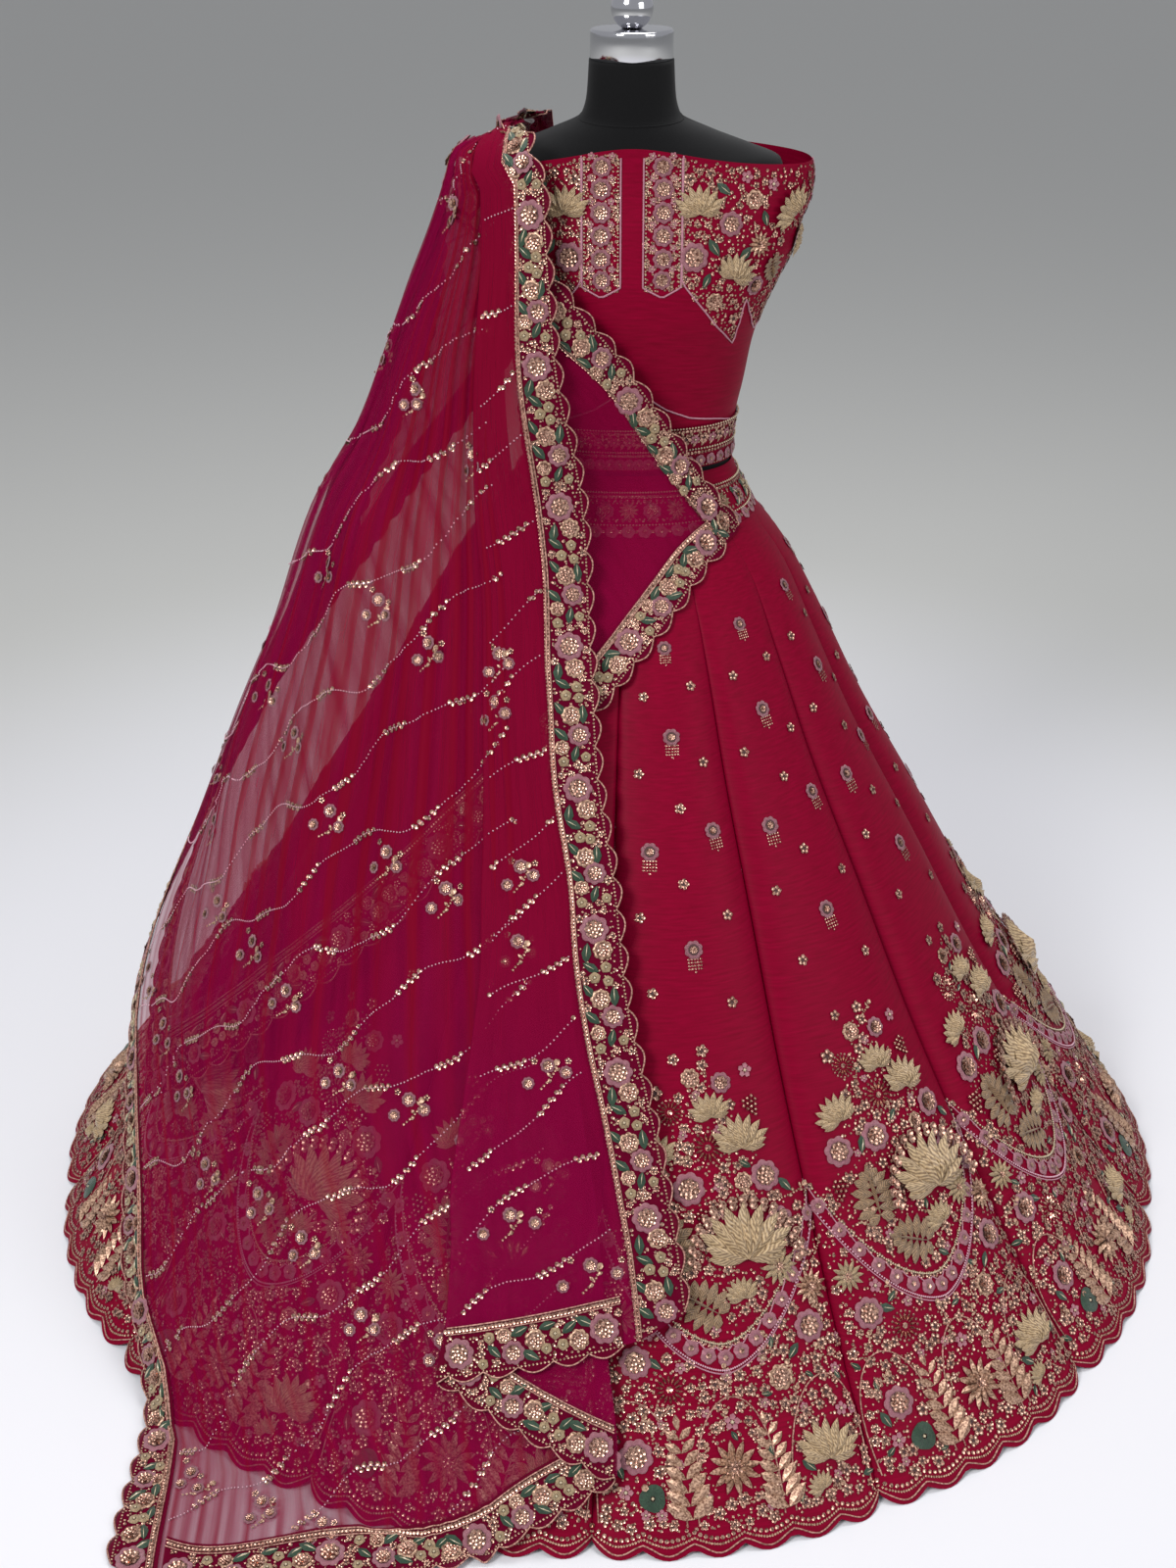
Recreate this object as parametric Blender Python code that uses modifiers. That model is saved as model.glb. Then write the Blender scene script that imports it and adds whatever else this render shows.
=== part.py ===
"""A lehenga choli with its dupatta, shown on a limbless dress form with a stand.

Metres, +Z up. The form's axis is the Z axis, the front faces -Y and the stand's
underside rests on Z = 0. An azimuth is in degrees from the front, positive
towards +X, so -90 is the shoulder that carries the dupatta. Cloth is a wall between
two worked-out faces, so that panels meet at a seam on one upright plane.
"""

import math

import bmesh
import bpy
from mathutils import Vector

# Cloth walls and the gaps between pieces.
SEAM_GAP = 0.0003
SKIRT_WALL = 0.0016
CHOLI_WALL = 0.0016
NET_WALL = 0.0010
BORDER_WALL = 0.0016

# Stand: base plate, socket and pole.
BASE_RADIUS = 0.170
BASE_HEIGHT = 0.012
SOCKET_RADIUS = 0.028
SOCKET_HEIGHT = 0.060
POLE_RADIUS = 0.016

# Dress form: a body of oval sections, closed flat below the hips and at the neck.
FORM_SIDES = 24
FORM_SQUARENESS = 2.3
FORM_COLUMNS = ("height", "half_width", "front", "back")
FORM_SECTIONS = (
    (0.7800, 0.1500, 0.0980, 0.1120),
    (0.8300, 0.1620, 0.1060, 0.1220),
    (0.8800, 0.1600, 0.1060, 0.1200),
    (0.9400, 0.1480, 0.1000, 0.1100),
    (0.9900, 0.1352, 0.0934, 0.0984),
    (1.0300, 0.1322, 0.0914, 0.0944),
    (1.0600, 0.1333, 0.0928, 0.0950),
    (1.1100, 0.1390, 0.0990, 0.1000),
    (1.1700, 0.1470, 0.1100, 0.1060),
    (1.2300, 0.1570, 0.1180, 0.1100),
    (1.2800, 0.1660, 0.1140, 0.1120),
    (1.3300, 0.1780, 0.1000, 0.1060),
    (1.3700, 0.1870, 0.0840, 0.0950),
    (1.3860, 0.1830, 0.0760, 0.0870),
    (1.4000, 0.1500, 0.0700, 0.0780),
    (1.4180, 0.1000, 0.0630, 0.0680),
    (1.4370, 0.0600, 0.0560, 0.0580),
    (1.4600, 0.0535, 0.0530, 0.0535),
    (1.4990, 0.0508, 0.0508, 0.0508),
)
CAP_RADIUS = 0.0498
CAP_HEIGHT = 0.0340
BALL_RADIUS = 0.0253
BALL_SEAT_RADIUS = 0.0120

# Choli: the outer face of the blouse cloth that is wrapped round the form.
CHOLI_COLUMNS = ("height", "right", "left", "front", "back")
CHOLI_SECTIONS = (
    (1.0185, 0.1364, 0.1364, 0.0952, 0.0984),
    (1.0400, 0.1355, 0.1355, 0.0947, 0.0977),
    (1.0750, 0.1392, 0.1392, 0.0990, 0.1005),
    (1.1140, 0.1470, 0.1450, 0.1045, 0.1045),
    (1.1730, 0.1575, 0.1540, 0.1150, 0.1110),
    (1.2150, 0.1720, 0.1640, 0.1225, 0.1160),
    (1.2490, 0.1875, 0.1740, 0.1235, 0.1190),
    (1.2820, 0.2035, 0.1840, 0.1200, 0.1200),
    (1.3180, 0.2125, 0.1900, 0.1140, 0.1180),
    (1.3420, 0.2220, 0.1930, 0.1085, 0.1150),
    (1.3670, 0.2245, 0.1950, 0.1040, 0.1120),
    (1.3900, 0.2200, 0.1930, 0.1010, 0.1090),
)
CHOLI_BOTTOM = 1.0185
CHOLI_TOP_SIDE = 1.3860
CHOLI_TOP_FRONT_RISE = 0.0260
CHOLI_TOP_BACK_RISE = 0.0180
CHOLI_COLUMNS_HALF = 14
CHOLI_BAND_ROWS = 2
CHOLI_ROWS = 7
CHOLI_BORDER_TOP = 1.0750

# Lehenga: the skirt's outer face, and the point that its hem is centred on.
WAIST_TOP = 1.0120
WAIST_BOTTOM = 0.9500
HEM_CENTRE = (-0.023, -0.113)
HEM_SQUARENESS = 2.0
SQUARE_HEIGHTS = (0.80, 0.98)
SKIRT_COLUMNS = ("height", "half_width", "front", "back")
SKIRT_SECTIONS = (
    (0.0000, 0.8000, 0.8000, 0.8000),
    (0.0800, 0.7330, 0.7330, 0.7330),
    (0.1700, 0.6640, 0.6640, 0.6640),
    (0.2800, 0.5880, 0.5880, 0.5880),
    (0.4000, 0.5080, 0.5080, 0.5080),
    (0.5500, 0.4180, 0.4180, 0.4180),
    (0.7000, 0.3250, 0.3240, 0.3220),
    (0.8200, 0.2600, 0.2560, 0.2550),
    (0.9000, 0.2120, 0.1980, 0.2000),
    (0.9500, 0.1690, 0.1460, 0.1500),
    (0.9850, 0.1480, 0.1140, 0.1180),
    (1.0120, 0.1359, 0.0947, 0.0987),
)

# Kalis: the skirt's fourteen flared panels and the crease along each seam.
KALI_COUNT = 14
FIRST_KALI_MIDDLE = 11.0
KALI_PITCH = 360.0 / KALI_COUNT
CREASE_WIDTH = 0.016
CREASE_COLUMNS = ("height", "crease", "belly")
CREASE_SECTIONS = (
    (0.0000, 0.0090, 0.0060),
    (0.2000, 0.0130, 0.0080),
    (0.5000, 0.0130, 0.0070),
    (0.8000, 0.0070, 0.0030),
    (0.9500, 0.0000, 0.0000),
)
SCALLOPS_PER_KALI = 6
POINTS_PER_SCALLOP = 3
SCALLOP_DEPTH = 0.0085
KALI_FINE_HEIGHTS = (0.060,)
KALI_COARSE_HEIGHTS = (0.150, 0.270, 0.410, 0.560, 0.720, 0.830, 0.900)
KALI_COARSE_SHARES = (0.0, 0.08, 0.27, 0.50, 0.73, 0.92, 1.0)
BROAD_FOLD_COLUMNS = ("azimuth", "half_spread", "height", "half_height", "swell")
BROAD_FOLDS = (
    (96.0, 20.0, 0.20, 0.20, 0.014),
    (150.0, 22.0, 0.26, 0.26, 0.012),
    (-150.0, 24.0, 0.24, 0.24, 0.012),
    (-72.0, 18.0, 0.16, 0.16, 0.010),
)

# The surface that the dupatta hangs on: distance from the centre line at each
# height, at six azimuths. Where the skirt reaches further out, the skirt wins.
SKIRT_CLEARANCE = 0.0020
TENT_AZIMUTHS = (-180.0, -135.0, -90.0, -45.0, 0.0, 60.0)
TENT_COLUMNS = ("height", "back", "back_left", "left", "front_left", "front", "right")
TENT_SECTIONS = (
    (0.000, 0.800, 0.805, 0.805, 0.805, 0.800, 0.800),
    (0.080, 0.735, 0.760, 0.775, 0.755, 0.735, 0.735),
    (0.200, 0.650, 0.690, 0.720, 0.680, 0.645, 0.645),
    (0.350, 0.545, 0.600, 0.645, 0.590, 0.540, 0.540),
    (0.500, 0.450, 0.515, 0.572, 0.505, 0.448, 0.448),
    (0.650, 0.355, 0.440, 0.515, 0.420, 0.355, 0.355),
    (0.800, 0.270, 0.360, 0.452, 0.350, 0.272, 0.270),
    (0.950, 0.160, 0.290, 0.396, 0.285, 0.174, 0.1675),
    (1.050, 0.112, 0.235, 0.336, 0.243, 0.140, 0.137),
    (1.150, 0.124, 0.190, 0.296, 0.212, 0.131, 0.151),
    (1.220, 0.130, 0.170, 0.268, 0.192, 0.1275, 0.172),
    (1.300, 0.130, 0.168, 0.234, 0.170, 0.122, 0.192),
    (1.360, 0.126, 0.164, 0.213, 0.155, 0.113, 0.188),
    (1.386, 0.122, 0.158, 0.206, 0.149, 0.110, 0.175),
    (1.400, 0.116, 0.144, 0.178, 0.142, 0.108, 0.150),
    (1.415, 0.092, 0.116, 0.132, 0.125, 0.105, 0.110),
    (1.432, 0.066, 0.080, 0.090, 0.080, 0.066, 0.066),
)

# Layers of the dupatta: how far each net's face stands out from that surface.
UNDER_LAYER = 0.0012
BOTTOM_LAYER = 0.0085
MIDDLE_LAYER = 0.0143
TOP_LAYER = 0.0193
DUPATTA_BORDER = 0.056

# Front fall: azimuth of its edges and of its two folds at each height, where the
# cloth turns under at the left fold and forward again at the right fold.
RIDGE_AZIMUTH = -90.0
RIDGE_HEIGHTS = (1.4284, 1.3850)
RIDGE_LENGTH = 0.112
RIDGE_EDGES = (0.0, 0.34, 0.22, 1.0)
FALL_COLUMNS = ("height", "right_edge", "left_fold", "right_fold", "left_edge")
FALL_SECTIONS = (
    (-0.180, 7.0, -17.0, -2.0, -35.4),
    (-0.064, 7.0, -17.0, -1.0, -41.0),
    (0.000, 7.0, -17.0, -0.5, -45.0),
    (0.050, 7.0, -17.0, 0.0, -49.0),
    (0.088, 7.0, -17.0, 0.0, -55.0),
    (0.166, 7.0, -17.0, -1.0, -62.0),
    (0.250, 6.5, -18.0, -2.0, -72.0),
    (0.310, 5.5, -19.5, -3.0, -82.0),
    (0.380, 4.0, -20.0, -5.0, -90.0),
    (0.500, 0.5, -21.0, -8.0, -98.0),
    (0.600, -1.5, -24.0, -12.0, -105.0),
    (0.710, -6.0, -28.0, -17.0, -109.0),
    (0.800, -9.0, -32.0, -22.0, -111.0),
    (0.910, -15.0, -38.0, -29.0, -112.0),
    (1.040, -23.0, -47.0, -39.0, -111.0),
    (1.160, -31.0, -53.0, -46.0, -108.0),
    (1.270, -36.0, -58.0, -51.0, -103.0),
    (1.380, -42.0, -66.0, -60.0, -97.0),
    (1.430, -45.0, -70.0, -64.0, -95.0),
)
FALL_END_COLUMNS = ("across", "height")
FALL_END = (
    (0.00, 0.204),
    (0.16, 0.140),
    (0.30, 0.070),
    (0.42, 0.020),
    (0.50, -0.020),
    (0.68, -0.075),
    (0.90, -0.165),
    (1.00, -0.180),
)
LEFT_FOLD_ACROSS = 0.16
RIGHT_FOLD_ACROSS = 0.30
FALL_ROW_COLUMNS = ("drop_share", "front_share")
FALL_ROWS = (
    (0.000, 0.00),
    (0.006, 0.40),
    (0.017, 0.75),
    (0.042, 1.00),
    (0.090, 1.00),
    (0.160, 1.00),
    (0.240, 1.00),
    (0.320, 1.00),
    (0.400, 1.00),
    (0.480, 1.00),
    (0.560, 1.00),
    (0.640, 1.00),
    (0.720, 1.00),
    (0.800, 1.00),
    (0.870, 1.00),
    (0.935, 1.00),
)
TOP_SHARES = (0.55, 0.80)
MIDDLE_SHARES = (0.25, 0.50, 0.75)
TURN_STEPS = 3
FALL_PLEATS = 7
COLUMNS_PER_PLEAT = 4
PLEAT_COLUMNS = ("height", "depth")
PLEAT_SECTIONS = (
    (0.000, 0.0000),
    (0.100, 0.0020),
    (0.300, 0.0060),
    (0.600, 0.0110),
    (0.900, 0.0120),
    (1.200, 0.0080),
    (1.430, 0.0030),
)

# Shoulder loop: the same folded cloth behind the shoulder.
LOOP_AZIMUTHS = {"right_edge": -151.0, "left_fold": -138.0, "right_fold": -142.0, "left_edge": -118.0}
LOOP_ROW_COLUMNS = ("drop", "back_share", "inset")
LOOP_ROWS = (
    (0.000, 0.00, 0.0000),
    (0.008, 0.40, 0.0000),
    (0.022, 0.75, 0.0000),
    (0.060, 1.00, 0.0000),
    (0.110, 1.00, 0.0000),
    (0.215, 1.00, 0.0000),
    (0.230, 1.00, 0.0020),
)

# Under fall: its edges as azimuth and height along the cloth and across it.
EDGE_COLUMNS = ("share", "azimuth", "height")
UNDER_RIGHT_EDGE = (
    (0.00, -128.0, 1.350),
    (0.08, -105.0, 1.366),
    (0.16, -80.0, 1.368),
    (0.26, -58.0, 1.340),
    (0.38, -40.0, 1.285),
    (0.50, -20.0, 1.215),
    (0.60, -2.0, 1.158),
    (0.70, 13.0, 1.108),
    (0.80, 28.0, 1.053),
    (0.90, 42.0, 1.000),
    (1.00, 56.0, 0.947),
)
UNDER_LEFT_EDGE = (
    (0.00, -138.0, 1.180),
    (0.20, -126.0, 0.980),
    (0.40, -114.0, 0.780),
    (0.60, -100.0, 0.580),
    (0.80, -84.0, 0.400),
    (1.00, -65.0, 0.241),
)
UNDER_END = (
    (0.00, 56.0, 0.947),
    (0.10, 32.0, 0.924),
    (0.20, 13.0, 0.875),
    (0.33, -8.0, 0.784),
    (0.50, -28.0, 0.650),
    (0.62, -38.0, 0.545),
    (0.75, -48.0, 0.440),
    (0.88, -58.0, 0.320),
    (1.00, -65.0, 0.241),
)
UNDER_COLUMNS = 16
UNDER_ROWS = 16
EDGE_SCALLOPS = 2
EDGE_SCALLOP_DEPTH = 0.009
EDGE_LIP = 0.0015

CRIMSON = (0.42, 0.002, 0.050, 1.0)
NET_PINK = (0.50, 0.010, 0.100, 1.0)
ROSE_GOLD = (0.62, 0.36, 0.27, 1.0)
JERSEY_BLACK = (0.012, 0.012, 0.014, 1.0)
CHROME = (0.75, 0.75, 0.77, 1.0)
DEGREE = math.pi / 180.0


def smooth(keys, values, key):
    """Follow a table's column smoothly, without passing beyond its values between rows."""
    if key <= keys[0]:
        return values[0]
    if key >= keys[-1]:
        return values[-1]
    low = max(i for i in range(len(keys) - 1) if keys[i] <= key)
    spans = [keys[i + 1] - keys[i] for i in range(len(keys) - 1)]
    rises = [(values[i + 1] - values[i]) / spans[i] for i in range(len(spans))]

    def slope(i):
        before = rises[max(i - 1, 0)]
        after = rises[min(i, len(rises) - 1)]
        if before * after <= 0.0:
            return 0.0
        return 2.0 * before * after / (before + after)

    span = spans[low]
    x = (key - keys[low]) / span
    start = (1.0 + 2.0 * x) * (1.0 - x) ** 2 * values[low] + x * (1.0 - x) ** 2 * span * slope(low)
    end = x * x * (3.0 - 2.0 * x) * values[low + 1] - x * x * (1.0 - x) * span * slope(low + 1)
    return start + end


class Table:
    """Rows of a short table, read at any value of its first column."""

    def __init__(self, columns, rows):
        ordered = sorted(rows)
        self.keys = [row[0] for row in ordered]
        self.values = {name: [row[i] for row in ordered] for i, name in enumerate(columns)}

    def at(self, name, key):
        return smooth(self.keys, self.values[name], key)


FORM = Table(FORM_COLUMNS, FORM_SECTIONS)
CHOLI = Table(CHOLI_COLUMNS, CHOLI_SECTIONS)
SKIRT = Table(SKIRT_COLUMNS, SKIRT_SECTIONS)
CREASE = Table(CREASE_COLUMNS, CREASE_SECTIONS)
TENT = Table(TENT_COLUMNS, TENT_SECTIONS)
FALL = Table(FALL_COLUMNS, FALL_SECTIONS)
FALL_FOOT = Table(FALL_END_COLUMNS, FALL_END)
PLEATS = Table(PLEAT_COLUMNS, PLEAT_SECTIONS)
UNDER_RIGHT = Table(EDGE_COLUMNS, UNDER_RIGHT_EDGE)
UNDER_LEFT = Table(EDGE_COLUMNS, UNDER_LEFT_EDGE)
UNDER_FOOT = Table(EDGE_COLUMNS, UNDER_END)


def mix(a, b, share):
    return a + (b - a) * share


def ease(share):
    share = min(max(share, 0.0), 1.0)
    return share * share * (3.0 - 2.0 * share)


def oval(azimuth, half_width, half_depth, squareness):
    """Distance from an oval's centre to its edge at an azimuth."""
    across = abs(math.sin(azimuth * DEGREE)) / half_width
    along = abs(math.cos(azimuth * DEGREE)) / half_depth
    return (across ** squareness + along ** squareness) ** (-1.0 / squareness)


def is_front(azimuth):
    return math.cos(azimuth * DEGREE) >= 0.0


def around(azimuth, radius, height, centre=(0.0, 0.0)):
    """A point at a distance from an upright centre line."""
    x = centre[0] + radius * math.sin(azimuth * DEGREE)
    y = centre[1] - radius * math.cos(azimuth * DEGREE)
    return Vector((x, y, height))


def form_point(azimuth, height, out=0.0):
    half_depth = FORM.at("front" if is_front(azimuth) else "back", height)
    radius = oval(azimuth, FORM.at("half_width", height), half_depth, FORM_SQUARENESS)
    return around(azimuth, radius + out, height)


def choli_point(azimuth, height, out):
    half_width = CHOLI.at("right" if math.sin(azimuth * DEGREE) >= 0.0 else "left", height)
    half_depth = CHOLI.at("front" if is_front(azimuth) else "back", height)
    radius = oval(azimuth, half_width, half_depth, FORM_SQUARENESS)
    return around(azimuth, radius + out, height)


def choli_top(azimuth):
    rise = CHOLI_TOP_FRONT_RISE if is_front(azimuth) else CHOLI_TOP_BACK_RISE
    return CHOLI_TOP_SIDE + rise * math.cos(azimuth * DEGREE) ** 2


def skirt_centre(height):
    share = 1.0 - min(max(height / WAIST_TOP, 0.0), 1.0)
    return (HEM_CENTRE[0] * share, HEM_CENTRE[1] * share)


def broad_swell(azimuth, height):
    """The few broad folds that push the skirt out beyond its round section."""
    total = 0.0
    for middle, half_spread, level, half_height, swell in BROAD_FOLDS:
        turn = abs((azimuth - middle + 180.0) % 360.0 - 180.0) / half_spread
        rise = abs(height - level) / half_height
        if turn < 1.0 and rise < 1.0:
            total += swell * math.cos(turn * math.pi / 2.0) ** 2 * math.cos(rise * math.pi / 2.0) ** 2
    return total


def skirt_round(azimuth, height):
    """The skirt's radius before its creases, at the top of the panels' bellies."""
    half_depth = SKIRT.at("front" if is_front(azimuth) else "back", height)
    low, high = SQUARE_HEIGHTS
    squareness = mix(HEM_SQUARENESS, FORM_SQUARENESS, ease((height - low) / (high - low)))
    radius = oval(azimuth, SKIRT.at("half_width", height), half_depth, squareness)
    return radius + broad_swell(azimuth, height)


def skirt_point(azimuth, height, out):
    """A point on the skirt, with its crease at each seam; out is 0 on its outer face."""
    across = ((azimuth - FIRST_KALI_MIDDLE) / KALI_PITCH + 0.5) % 1.0
    radius = skirt_round(azimuth, height)
    to_seam = min(across, 1.0 - across) * KALI_PITCH * DEGREE * radius
    crease = CREASE.at("crease", height) * math.exp(-to_seam / CREASE_WIDTH)
    belly = CREASE.at("belly", height) * (2.0 * across - 1.0) ** 2
    return around(azimuth, radius - crease - belly + out, height, skirt_centre(height))


def drape_radius(azimuth, height):
    """How far out the dupatta's surface lies: on the skirt, or tented clear of it."""
    columns = [TENT.at(name, height) for name in TENT_COLUMNS[1:]]
    tent = smooth(TENT_AZIMUTHS, columns, azimuth)
    return max(tent, skirt_round(azimuth, height) + SKIRT_CLEARANCE)


def drape_base(azimuth, height):
    """The dupatta's surface, which runs out over the floor at heights below zero."""
    if height >= 0.0:
        return around(azimuth, drape_radius(azimuth, height), height, skirt_centre(height))
    return around(azimuth, drape_radius(azimuth, 0.0) - height, 0.0, HEM_CENTRE)


def drape_point(azimuth, height, layer, extra):
    """A point of a layer above that surface, coming down to the floor past the hem."""
    step = 0.004
    turn = step / drape_radius(azimuth, max(height, 0.0)) / DEGREE
    east = drape_base(azimuth + turn, height) - drape_base(azimuth - turn, height)
    rise = drape_base(azimuth, height + step) - drape_base(azimuth, height - step)
    normal = east.cross(rise).normalized()
    on_floor = ease(-height / 0.050)
    floor_layer = NET_WALL + SEAM_GAP
    return drape_base(azimuth, height) + normal * (mix(layer, floor_layer, on_floor) + extra)


def clear_scene():
    for thing in list(bpy.data.objects):
        bpy.data.objects.remove(thing)


def make_material(name, color, roughness, metallic=0.0):
    material = bpy.data.materials.new(name)
    material.use_nodes = True
    shader = material.node_tree.nodes["Principled BSDF"]
    shader.inputs["Base Color"].default_value = color
    shader.inputs["Roughness"].default_value = roughness
    shader.inputs["Metallic"].default_value = metallic
    material.diffuse_color = color
    return material


def new_object(name, mesh, collection, color, roughness, metallic=0.0):
    thing = bpy.data.objects.new(name, mesh)
    collection.objects.link(thing)
    mesh.materials.append(make_material(name + "_finish", color, roughness, metallic))
    mesh.shade_smooth()
    mesh.set_sharp_from_angle(angle=35.0 * DEGREE)
    return thing


def turned(name, profile, steps, collection, color, roughness, metallic=0.0):
    """Turn a profile that runs from the axis down its outer side and back to the axis."""
    mesh = bpy.data.meshes.new(name)
    mesh.from_pydata([(x, 0.0, z) for x, z in profile], [(i, i + 1) for i in range(len(profile) - 1)], [])
    thing = new_object(name, mesh, collection, color, roughness, metallic)
    screw = thing.modifiers.new("Turn", "SCREW")
    screw.steps = steps
    screw.render_steps = steps
    screw.use_merge_vertices = True
    screw.merge_threshold = 0.0001
    return thing


def strip(graph, first, second):
    """Triangles between two neighbouring lines of points, which may differ in number."""
    i = 0
    j = 0
    while i < len(first) - 1 or j < len(second) - 1:
        next_i = (i + 1) / (len(first) - 1) if i < len(first) - 1 else 9.0
        next_j = (j + 1) / (len(second) - 1) if j < len(second) - 1 else 9.0
        if len(first) == len(second):
            graph.faces.new((first[i], first[i + 1], second[j + 1]))
            graph.faces.new((first[i], second[j + 1], second[j]))
            i += 1
            j += 1
        elif next_i <= next_j:
            graph.faces.new((first[i], first[i + 1], second[j]))
            i += 1
        else:
            graph.faces.new((first[i], second[j + 1], second[j]))
            j += 1


def cloth(name, outer, inner, collection, color, roughness, closed=False):
    """A wall between two faces, each given as lines of points from the bottom up."""
    graph = bmesh.new()
    faces = []
    for lines in (outer, inner):
        rows = [[graph.verts.new(point) for point in line] for line in lines]
        faces.append([row + row[:1] for row in rows] if closed else rows)
    out_rows, in_rows = faces
    for index in range(len(out_rows) - 1):
        strip(graph, out_rows[index], out_rows[index + 1])
        strip(graph, in_rows[index], in_rows[index + 1])
    strip(graph, in_rows[0], out_rows[0])
    strip(graph, out_rows[-1], in_rows[-1])
    if not closed:
        strip(graph, [row[0] for row in in_rows], [row[0] for row in out_rows])
        strip(graph, [row[-1] for row in out_rows], [row[-1] for row in in_rows])
    bmesh.ops.recalc_face_normals(graph, faces=graph.faces)
    if graph.calc_volume(signed=True) < 0.0:
        bmesh.ops.reverse_faces(graph, faces=graph.faces)
    mesh = bpy.data.meshes.new(name)
    graph.to_mesh(mesh)
    graph.free()
    return new_object(name, mesh, collection, color, roughness)


def make_form_torso(collection):
    """The form's body: rings of one count, closed by flat ends."""
    graph = bmesh.new()
    rings = []
    for height in FORM.keys:
        azimuths = [360.0 * i / FORM_SIDES for i in range(FORM_SIDES)]
        rings.append([graph.verts.new(form_point(azimuth, height)) for azimuth in azimuths])
    for lower, upper in zip(rings, rings[1:]):
        strip(graph, lower + lower[:1], upper + upper[:1])
    graph.faces.new(rings[0][::-1])
    graph.faces.new(rings[-1])
    mesh = bpy.data.meshes.new("form_torso")
    graph.to_mesh(mesh)
    graph.free()
    return new_object("form_torso", mesh, collection, JERSEY_BLACK, 0.85)


def make_form_fittings(collection):
    """The chrome neck cap, its ball, and the pole with its socket and base plate."""
    cap_low = FORM.keys[-1] + SEAM_GAP
    cap_high = cap_low + CAP_HEIGHT
    edge = 0.0018
    cap = [(0.0, cap_high), (CAP_RADIUS - edge, cap_high), (CAP_RADIUS, cap_high - edge),
           (CAP_RADIUS, cap_low), (0.0, cap_low)]
    turned("form_neck_cap", cap, 32, collection, CHROME, 0.12, 1.0)

    seat = cap_high + SEAM_GAP
    seat_angle = math.asin(BALL_SEAT_RADIUS / BALL_RADIUS)
    middle = seat + BALL_RADIUS * math.cos(seat_angle)
    angles = [(math.pi - seat_angle) * i / 9 for i in range(10)]
    ball = [(BALL_RADIUS * math.sin(angle), middle + BALL_RADIUS * math.cos(angle)) for angle in angles]
    ball.append((0.0, seat))
    turned("form_finial", ball, 20, collection, CHROME, 0.10, 1.0)

    base = [(0.0, BASE_HEIGHT), (BASE_RADIUS - 0.006, BASE_HEIGHT), (BASE_RADIUS, BASE_HEIGHT - 0.004),
            (BASE_RADIUS, 0.0), (0.0, 0.0)]
    turned("form_base", base, 36, collection, CHROME, 0.25, 1.0)

    low = BASE_HEIGHT + SEAM_GAP
    bore = POLE_RADIUS + SEAM_GAP
    socket = [(bore, low + SOCKET_HEIGHT), (SOCKET_RADIUS - 0.004, low + SOCKET_HEIGHT),
              (SOCKET_RADIUS, low + SOCKET_HEIGHT - 0.006), (SOCKET_RADIUS, low), (bore, low),
              (bore, low + SOCKET_HEIGHT)]
    turned("form_pole_socket", socket, 20, collection, CHROME, 0.25, 1.0)

    high = FORM.keys[0] - SEAM_GAP
    pole = [(0.0, high), (POLE_RADIUS, high), (POLE_RADIUS, low), (0.0, low)]
    turned("form_pole", pole, 20, collection, CHROME, 0.20, 1.0)


def choli_lines(low_azimuth, high_azimuth, low, high, rows, out):
    """Lines of the choli's cloth from a height up to its top edge or to a level."""
    lines = []
    for row in range(rows + 1):
        line = []
        for column in range(CHOLI_COLUMNS_HALF + 1):
            azimuth = mix(low_azimuth, high_azimuth, column / CHOLI_COLUMNS_HALF)
            top = choli_top(azimuth) if high is None else high
            line.append(choli_point(azimuth, mix(low, top, row / rows), out))
        lines.append(line)
    return lines


def make_choli(collection):
    """The blouse length as a front and a back, with its embroidered band at the waist."""
    trim = 0.5 * SEAM_GAP / CHOLI.at("left", CHOLI_BOTTOM) / DEGREE
    border_low = 2.0 * SEAM_GAP
    border_rows = {out: [[] for _ in range(CHOLI_BAND_ROWS + 1)] for out in (border_low, border_low + BORDER_WALL)}
    for name, start in (("choli_front", -90.0), ("choli_back", 90.0)):
        ends = (start + trim, start + 180.0 - trim)
        faces = []
        for out in (0.0, -CHOLI_WALL):
            band = choli_lines(*ends, CHOLI_BOTTOM, CHOLI_BORDER_TOP, CHOLI_BAND_ROWS, out)
            body = choli_lines(*ends, CHOLI_BORDER_TOP, None, CHOLI_ROWS, out)
            faces.append(band + body[1:])
        cloth(name, *faces, collection, CRIMSON, 0.45)
        for out, rows in border_rows.items():
            band = choli_lines(*ends, CHOLI_BOTTOM, CHOLI_BORDER_TOP, CHOLI_BAND_ROWS, out)
            for row, line in zip(rows, band):
                row.extend(line)
    inner, outer = border_rows.values()
    cloth("choli_waist_border", outer, inner, collection, ROSE_GOLD, 0.5, closed=True)


def make_waistband(collection):
    """The skirt's embroidered waistband, a closed ring that sits on the form's waist."""
    columns = 3 * KALI_COUNT
    azimuths = [360.0 * i / columns for i in range(columns)]
    heights = (WAIST_BOTTOM + SEAM_GAP, 0.970, 0.990, WAIST_TOP)
    faces = [[[skirt_point(azimuth, height, out) for azimuth in azimuths] for height in heights]
             for out in (0.0, -SKIRT_WALL)]
    cloth("lehenga_waistband", *faces, collection, CRIMSON, 0.45, closed=True)


def kali_line(middle, height, shares, out, scallop=False):
    """One line across a panel, trimmed by half the seam's gap at each side."""
    radius = skirt_round(middle, height)
    trim = 0.5 * SEAM_GAP / radius / DEGREE
    low = middle - KALI_PITCH / 2.0 + trim
    high = middle + KALI_PITCH / 2.0 - trim
    line = []
    for share in shares:
        level = height
        if scallop:
            phase = (share * SCALLOPS_PER_KALI) % 1.0
            level += SCALLOP_DEPTH * (1.0 - math.sin(math.pi * phase) / math.sin(math.pi / POINTS_PER_SCALLOP))
        line.append(skirt_point(mix(low, high, share), level, out))
    return line


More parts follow.
